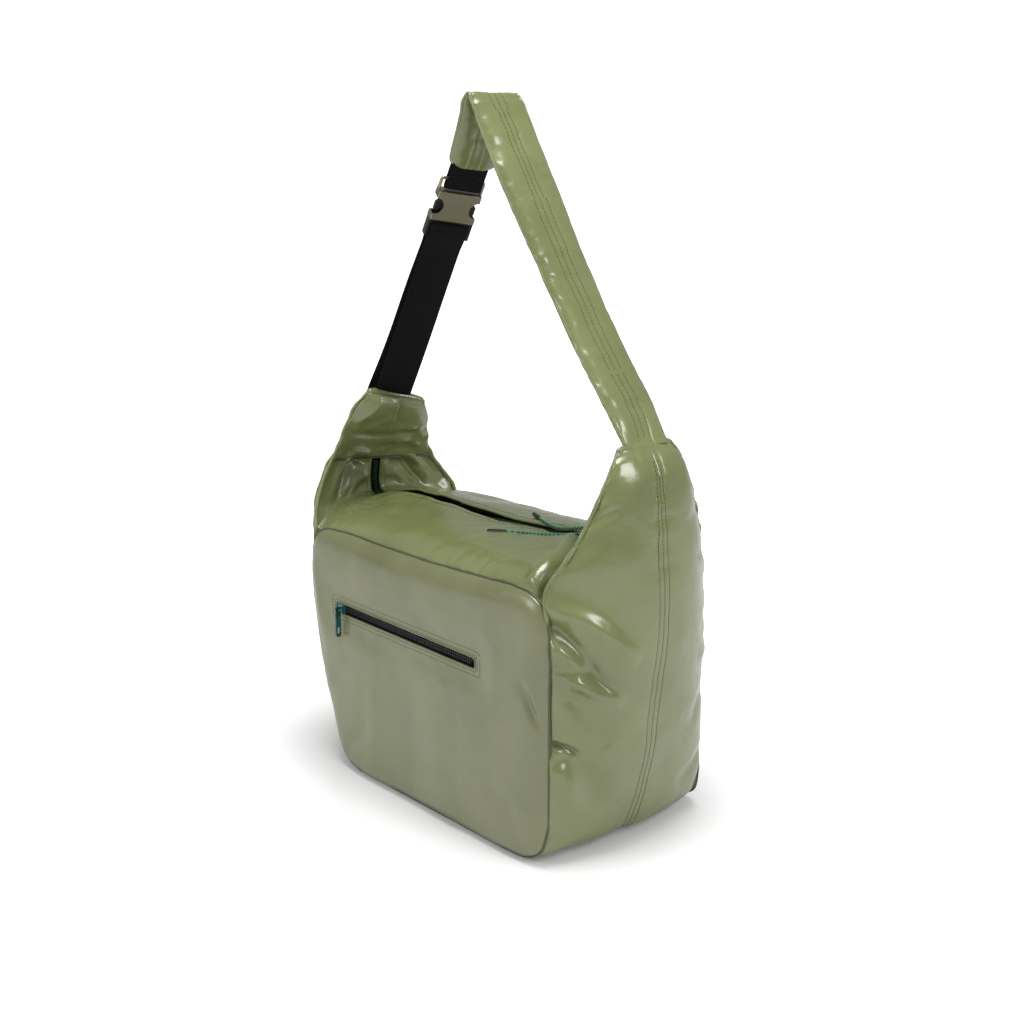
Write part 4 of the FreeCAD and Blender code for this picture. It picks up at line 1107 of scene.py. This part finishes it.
def top_and_horns():
    """Front and back halves of the top, which run up both horns beside the zip, and a cap
    over the upper part of each horn's inner face."""
    stations, at = band(INNER)
    middle = len(at) // 2
    seam_z = stations[:, 1]
    left = int(np.argmax(seam_z[:middle] < CAP_FOOT))
    right = middle + int(np.argmax(seam_z[middle:] > CAP_FOOT))
    inner_x = stations[left:right, 3]
    end = np.minimum(at[left:right] - at[left], at[right - 1] - at[left:right])
    gap = 6.8 + 2.0 * noise(at[left:right, None], (30,), 71) + 1.2 * rise(inner_x, -60, 20)
    upright = rise(np.abs(inner_x + 5), 168, 184)
    gap = gap + (5.0 - gap) * upright
    gap = 0.6 + (gap - 0.6) * rise(end, 1, 8)
    for side, name, node in ((-1, "front", "top_front_panel"), (1, "back", "top_back_panel")):
        rows = stations[left:right]
        share = np.linspace(0, 1, 44)
        share = share + 0.12 * np.sin(share * 2 * math.pi) / (2 * math.pi)
        y = -(rows[:, 2:3] - (rows[:, 2] - gap)[:, None] * share[None, :])
        bow = (1 - np.abs(y / rows[:, 2:3]) ** 2.5)[..., None]
        flat = rows[:, None, 0:2] + (rows[:, None, 3:5] - rows[:, None, 0:2]) * bow
        grid = np.stack([flat[..., 0], y, flat[..., 1]], axis=-1)
        grid = pushed(grid, inner_relief(grid, at[left:right], gap[:, None]))
        # the edge beside the zip rolls down over the tape
        roll = bell(np.abs(grid[..., 1]) - gap[:, None], 1.6)[..., None]
        grid = grid - roll * normals(grid) * 1.3
        if side > 0:
            grid = grid * np.array([1, -1, 1])
        grid = horn_lean(grid)
        obj = sheet_of("top_%s_cover" % name, grid, flip=side > 0, wall=2.0)
        dress(obj, SHELL, "bag", (node,))
        row = grid[8:-8, -4]
        out = normals(grid)[8:-8, -4] * -side
        dress(stitches("top_%s_topstitch" % name, [row], [out]), THREAD, "bag")
    for name, low, high, node in (("left", 0, left + 3, "left_horn_cap"),
                                  ("right", right - 3, len(at), "right_horn_cap")):
        rows = stations[low:high]
        across = across_steps(60, 1.8, 1.8, 6)
        grid = band_grid(rows, across)
        grid = pushed(grid, inner_relief(grid, at[low:high], np.full((1, 1), 400.0)) * 0.8 + 1.0)
        grid = horn_lean(grid)
        obj = sheet_of("%s_horn_cap_cover" % name, grid, wall=2.0)
        dress(obj, SHELL, "bag", (node,))
        end = -1 if name == "left" else 0
        line = grid[end] + normals(grid)[end] * 0.3
        # the cap seam's dark colour is painted shade of the crevice at the seam
        dress(bead("%s_cap_seam" % name, line, 0.9, across=(0, 0, 1)), SEAM_PAINTED_SHADE, "bag")
    # zip line up one horn, over the top and up the other
    path = np.stack([stations[left:right, 3], 0 * inner_x, stations[left:right, 4]], axis=-1)
    return horn_lean(path)


def horn_edges():
    """Rolled seams up the horns' front and back edges, and a flat seam over each tip."""
    table = np.asarray(OUTER, float)
    for name, rows in (("left", table[:8][::-1]), ("right", table[-9:])):
        k = lengths(rows[:, :2])
        run = through(rows, k, np.linspace(k[1] * 0.7, k[-1], 90))
        for side, face in ((-1, "front"), (1, "back")):
            path = np.stack([run[:, 0], side * (run[:, 2] - 0.4), run[:, 1]], axis=-1)
            s = lengths(path)
            wander = 1.1 * noise2(s, s * 0 + side, (13, 5), 81)
            path = horn_lean(path + wander[:, None] * np.array([1, side, 0.3]))
            size = 1.9 + 0.5 * noise(s[:, None], (8,), 82 + side)
            size = size * rise(s, -10, 14)
            dress(bead("%s_horn_%s_roll" % (name, face), path, size, across=(1, 0, 0)),
                  SHELL, "bag")
    for name, row, inner in (("left", table[0], INNER[0]), ("right", table[-1], INNER[-1])):
        share = np.linspace(-1, 1, 60)
        bow = 1 - np.abs(share) ** 2.5
        middle = (row[3:5] + np.array(inner[3:5])) / 2
        xz = row[None, :2] + (middle - row[:2])[None] * bow[:, None]
        path = np.stack([xz[:, 0], share * row[2], xz[:, 1]], axis=-1)
        path = horn_lean(path)
        thick = (5.2 if name == "left" else 3.2) + 0.5 * noise(path[:, 1:2], (9,), 84)
        dress(bead("%s_horn_tip_seam" % name, path, thick * (0.4 + 0.6 * bow ** 0.4), around=14,
                   across=(1, 0, 0)), SHELL, "bag")


# ------------------------------------------------------------------ strap
STRAP = [
    (190, 0, 366, 50, 0), (171.5, 1, 391, 52, 1), (133.6, 2, 436.8, 53, 3), (83.3, 3, 505.3, 53, 5),
    (37.1, 2, 576.8, 55, 8), (6, -0.5, 632, 55, 10), (-1.2, -1.5, 645.5, 54, 10),
    (-6.5, -1.5, 650.6, 53, 10), (-12.2, -1, 646.5, 52, 11), (-18.5, 1, 633, 51, 13),
    (-30, 3, 611, 50, 16), (-43, 4, 587.5, 48, 18),
]
STRAP_SPLIT = 72.0
# Short folds across the strap's outer face, (distance along, distance across)
STRAP_FOLDS = [
    ([(257, -22), (260, -14), (263, -6)], 1.9, 2.0), ([(244, -19), (247, -12), (250, -4)], 1.7, 1.5),
    ([(215, -20), (217, -15), (220, -9)], 1.7, 2.0), ([(181, -20), (186, -12), (183, -2)], 1.9, 1.8),
    ([(270, 14), (268, 20), (266, 24)], 1.9, 1.8), ([(240, 10), (234, 17), (227, 23)], 2.0, 2.0),
    ([(208, 10), (199, 17), (189, 23)], 2.2, 2.2), ([(160, 12), (150, 18), (139, 23)], 2.0, 1.8),
    ([(128, -20), (131, -14), (134, -8)], 1.8, 1.6), ([(108, 10), (102, 17), (96, 22)], 2.0, 1.7),
    ([(345, -13), (336, -12.5), (330, -10)], 1.3, -3.2), ([(332, -12), (322, -10.5), (313, -8)], 2.6, 2.0),
]


def strap_shape():
    """The padded strap: a flat pad whose faces swell from its pinched edges, sewn down
    along its middle, carried up from the right horn, over the fold and down the short leg.
    Each row of the table is a centre, a width and a twist about the upright in degrees."""
    table = np.asarray(STRAP, float)
    k = lengths(table[:, :3])
    # rows 2 mm apart, and closer together over the fold
    at = np.concatenate([np.arange(0, 325, 2.0), np.arange(325, 360, 0.9),
                         np.arange(360, k[-1], 1.8), [k[-1]]])
    rows = through(table, k, at)
    path, width = rows[:, :3], rows[:, 3:4]
    twist = np.radians(rows[:, 4])
    across, out = frames(path, np.stack([np.sin(twist), np.cos(twist), -0.3 * twist], axis=-1))
    fold_at = k[7]
    turn = circle(128)
    c, s = np.cos(turn)[None, :], np.sin(turn)[None, :]
    a = powered(c, 0.72)
    face = np.sign(s) * (1 - np.abs(a) ** 3.4) ** 0.62
    near_fold = bell(at - fold_at, 26)[:, None]
    ends = rise(at, 0, 26)[:, None] * rise(k[-1] - at, -4, 22)[:, None]
    thick = (13.0 - 6.5 * near_fold) * (0.42 + 0.58 * ends) + 7 * bell(at - k[-1], 16)[:, None]
    # the short end is rounded off by a quarter circle on each side
    left_over = np.clip(k[-1] - at, 0, END_ROUND)[:, None]
    drawn_in = END_ROUND - np.sqrt(END_ROUND ** 2 - (END_ROUND - left_over) ** 2)
    width = width - 2 * drawn_in * 0.8
    reach = a * width / 2
    f = face * thick / 2 + np.sign(s) * 0.5 * (1 - np.abs(a) ** 12)
    side = np.sign(s)
    along = np.broadcast_to(at[:, None], reach.shape)
    # the two faces read the noise 200 mm apart, so that they differ
    place = np.stack([along, reach + 200 * (side > 0)], axis=-1)
    middle = np.abs(reach)
    edge = width / 2 - middle
    relief = 1.0 * noise(place, (30, 40), 91) + 0.55 * noise(place, (13, 60), 92)
    shut = rise(noise(place, (34, 26), 93), -0.15, 0.25)
    relief += 0.6 * crease(noise(place, (15, 44), 94), 0.35) * shut
    relief += (side > 0) * folded(along, reach, STRAP_FOLDS)
    pucker = noise2(along, edge * 0.2 + 60 * side, (7, 10), 95)
    relief += 0.9 * pucker * fade(edge, 8)
    ripple = noise2(along, reach * 0.2 + 60 * side, (7.5, 12), 96)
    relief += 0.5 * ripple * fade(middle - 6, 7)
    relief -= 1.2 * fade(middle - ROW_GAP, 10)
    for row in ROWS:
        relief -= 0.45 * bell(reach - row, 0.8)
    f = f + side * relief * rise(edge, 0, 3) * (1 - 0.45 * near_fold)
    wave = 0.8 * noise2(along, side * 30.0 + 0 * along, (24, 9), 97)
    reach = reach + powered(a, 6) * wave
    grid = carried(path, across, out, np.stack([reach, f], axis=-1))
    return grid, at, reach, side


def strap():
    """Lower piece that turns out of the horn, and the long piece that opens at the bend."""
    grid, at, reach, side = strap_shape()
    cut = int(np.argmax(at >= STRAP_SPLIT))
    low = tube_of("strap_cover_lower", grid[:cut + 1])
    high = tube_of("strap_cover_upper", grid[cut:])
    for obj in (low, high):
        dress(obj, SHELL, None)
    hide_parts("strap_lower_pad", "strap_stub")
    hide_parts("strap_cover", "strap_wadding", "strap_short_pad")
    blend_low = dict(start=tuple(STRAP_SEAM * MM), end=(0.166, 0, 0.400))
    blend_high = dict(start=(0.139, 0, 0.430), end=(0.106, 0, 0.473))
    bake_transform(low)
    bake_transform(high)
    for name, first, last, bodies, span in (
            ("lower", 2, cut + 1, ("bag", "strap_base"), blend_low),
            ("upper", cut, len(at) - 8, ("strap_base", "padded_strap"), blend_high)):
        for end, face in ((1, "back"), (-1, "front")):
            column = int(np.argmax(end * reach[0]))
            line = grid[first:last, column]
            inward = grid[first:last].mean(axis=1) - line
            line = line + 1.2 * inward / np.linalg.norm(inward, axis=1, keepdims=True)
            s = lengths(line)
            size = 1.7 + 0.25 * noise(s[:, None], (7,), 98 + end)
            roll = bead("strap_edge_%s_%s" % (name, face), line, size, across=(1, 0, 0))
            dress(roll, SHELL, None)
            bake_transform(roll)
    out = normals(closed(grid))[:, :-1]
    from_middle = grid - grid.mean(axis=1, keepdims=True)
    out = out * np.sign(np.einsum("ijk,ijk->ij", out, from_middle).mean())
    for name, first, last, bodies, span in (
            ("lower", 4, cut, ("bag", "strap_base"), blend_low),
            ("upper", cut, len(at) - 14, ("strap_base", "padded_strap"), blend_high)):
        paths, lifts = [], []
        for face in (-1, 1):
            for row in ROWS:
                off = np.where(side == face, np.abs(reach - row), 1e3)
                column = np.argmin(off, axis=1)
                lines = np.arange(first, last)
                paths.append(grid[lines, column[lines]])
                lifts.append(out[lines, column[lines]])
        sewn = stitches("strap_topstitch_" + name, paths, lifts)
        dress(sewn, THREAD, None)
        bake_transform(sewn)


# ------------------------------------------------------------------ webbing and buckle
def on_leg(up, front):
    """Points of the buckle's leg from their distances up it and out of its front."""
    return FOOT + up[:, None] * LEG_UP + front[:, None] * LEG_FRONT


def woven_band(name, path, width):
    """Flat band of webbing along a path."""
    profile = flat_profile(width, WEB_THICK, 24, 0.3)
    return tube_of(name, carried(path, *frames(path, LEG_ACROSS), profile))


def webbing():
    """Flat woven bands: the lower one comes up out of the left horn, goes round the
    buckle's bar and its tail hangs down behind; the upper one holds the ring."""
    bar, deep, round_ = 203.0, 5.1, 3.6
    turn = np.linspace(math.pi / 2, -math.pi / 2, 13)
    wrap_up, wrap_front = bar + round_ * np.cos(turn), deep * np.sin(turn)
    climb, down = np.linspace(2, bar - 1, 80), np.linspace(bar - 1, -14, 80)
    spread = 1 - np.clip(down / 180, 0, 1)
    ease = rise(bar - down, 0, 30)
    tail_front = -deep + 1.6 * ease - 12.5 * spread ** 1.25 - 1.4 * np.sin(spread * 7)
    climb_front = 3.0 + 2.1 * rise(climb, 176, 196) + 0.8 * np.sin(climb / 38) * rise(bar - climb, 0, 40)
    path = on_leg(np.concatenate([climb, wrap_up, down]),
                  np.concatenate([climb_front, wrap_front, tail_front]))
    obj = woven_band("lower_webbing_band", path, WEB_WIDTH)
    dress(obj, WEBBING, None, ("lower_webbing", "webbing_stub"))
    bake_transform(obj)
    ring, round_ = 242.6, 2.7
    turn = np.linspace(math.pi / 2, 3 * math.pi / 2, 11)
    limb = np.linspace(276, ring + 2, 12)
    up = np.concatenate([limb, ring + round_ * np.cos(turn), np.linspace(ring + 2, 276, 12)])
    front = np.concatenate([np.full(12, round_), round_ * np.sin(turn), np.full(12, -round_)])
    path = on_leg(up, front) + 1.5 * LEG_ACROSS
    dress(woven_band("upper_webbing_band", path, LOOP_WIDTH), WEBBING, "padded_strap",
          ("upper_webbing_loop",))


# ------------------------------------------------------------------ zips
def main_zip(path):
    """Zip along the top and up both horns: two tapes and their moulded teeth, which stand
    alternately each side of the middle."""
    s = lengths(path)
    path = path[(s > 8) & (s < s[-1] - 8)]
    across, out = frames(path, (0, 1, 0))
    out = out * np.sign(out[len(out) // 2, 2])
    for side, name in ((-1, "front"), (1, "back")):
        lower = path - out * TAPE_SUNK + np.array([0, side * TAPE_APART, 0])
        profile = flat_profile(TAPE_WIDTH, TAPE_THICK, 12, 0.3)
        tape = tube_of("main_zip_tape_%s_woven" % name, carried(lower, across, out, profile))
        dress(tape, TAPE, "bag", ("main_zip_tape_" + name,))
        late = MAIN_PITCH / 2 if side > 0 else 0.0
        centre, ahead, up = spaced(path - out * TEETH_SUNK, MAIN_PITCH, late, out)
        centre = centre + np.array([0, side * MAIN_APART, 0])
        teeth = copies("main_zip_teeth_%s_moulded" % name, pebble(), centre, ahead, up,
                       MAIN_TOOTH)
        dress(teeth, GREEN_TEETH, "bag", ("main_zip_teeth_" + name,))
    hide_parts("right_rise_tapes", "right_rise_teeth", "left_rise_tapes", "left_rise_teeth")


def front_zip():
    """Moulded teeth of the front pocket's zip."""
    for side, name in ((1, "upper"), (-1, "lower")):
        low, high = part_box("front_zip_teeth_" + name)
        left, right = low.x / MM, high.x / MM
        late = FRONT_PITCH / 2 if side > 0 else 0
        at = np.arange(left + 1 + late, right - 1, FRONT_PITCH)
        centre = np.stack([at, 0 * at + FRONT_ZIP_Y, 0 * at + FRONT_ZIP_Z + side * FRONT_APART],
                          axis=-1)
        ahead = np.broadcast_to([1.0, 0, 0], centre.shape)
        up = np.broadcast_to([0, -1.0, 0], centre.shape)
        teeth = copies("front_zip_teeth_%s_moulded" % name, pebble(), centre, ahead, up,
                       FRONT_TOOTH)
        dress(teeth, TEETH, "bag", ("front_zip_teeth_" + name,))


def finish_nodes():
    """Finishes of the pieces whose working shape is also the one that shows."""
    finishes = {
        "front_pocket_bag": LINING,
        "front_zip_tape_upper": TAPE, "front_zip_tape_lower": TAPE,
        "front_zip_stops": TEETH, "main_zip_stops": BLACK_ENAMEL,
        "front_zip_slider": ENAMEL, "front_zip_bail": ENAMEL, "front_zip_puller": ENAMEL,
        "main_zip_slider": BLACK_ENAMEL, "main_zip_bail": BLACK_ENAMEL, "pull_cord_loop": CORD_LONG,
        "buckle_male_frame": ACETAL, "buckle_prong_front": ACETAL, "buckle_prong_back": ACETAL,
        "buckle_ring": NICKEL, "buckle_shell": NICKEL,
    }
    for name, finish in finishes.items():
        dress(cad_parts[name], finish)


set_stage()
pull_cords()
gusset()
FRONT_GRID, WINDOW = front_panel()
front_window(FRONT_GRID, WINDOW)
back_panel()
seam_rolls()
lining()
ZIP_PATH = top_and_horns()
horn_edges()
strap()
webbing()
main_zip(ZIP_PATH)
front_zip()
finish_nodes()
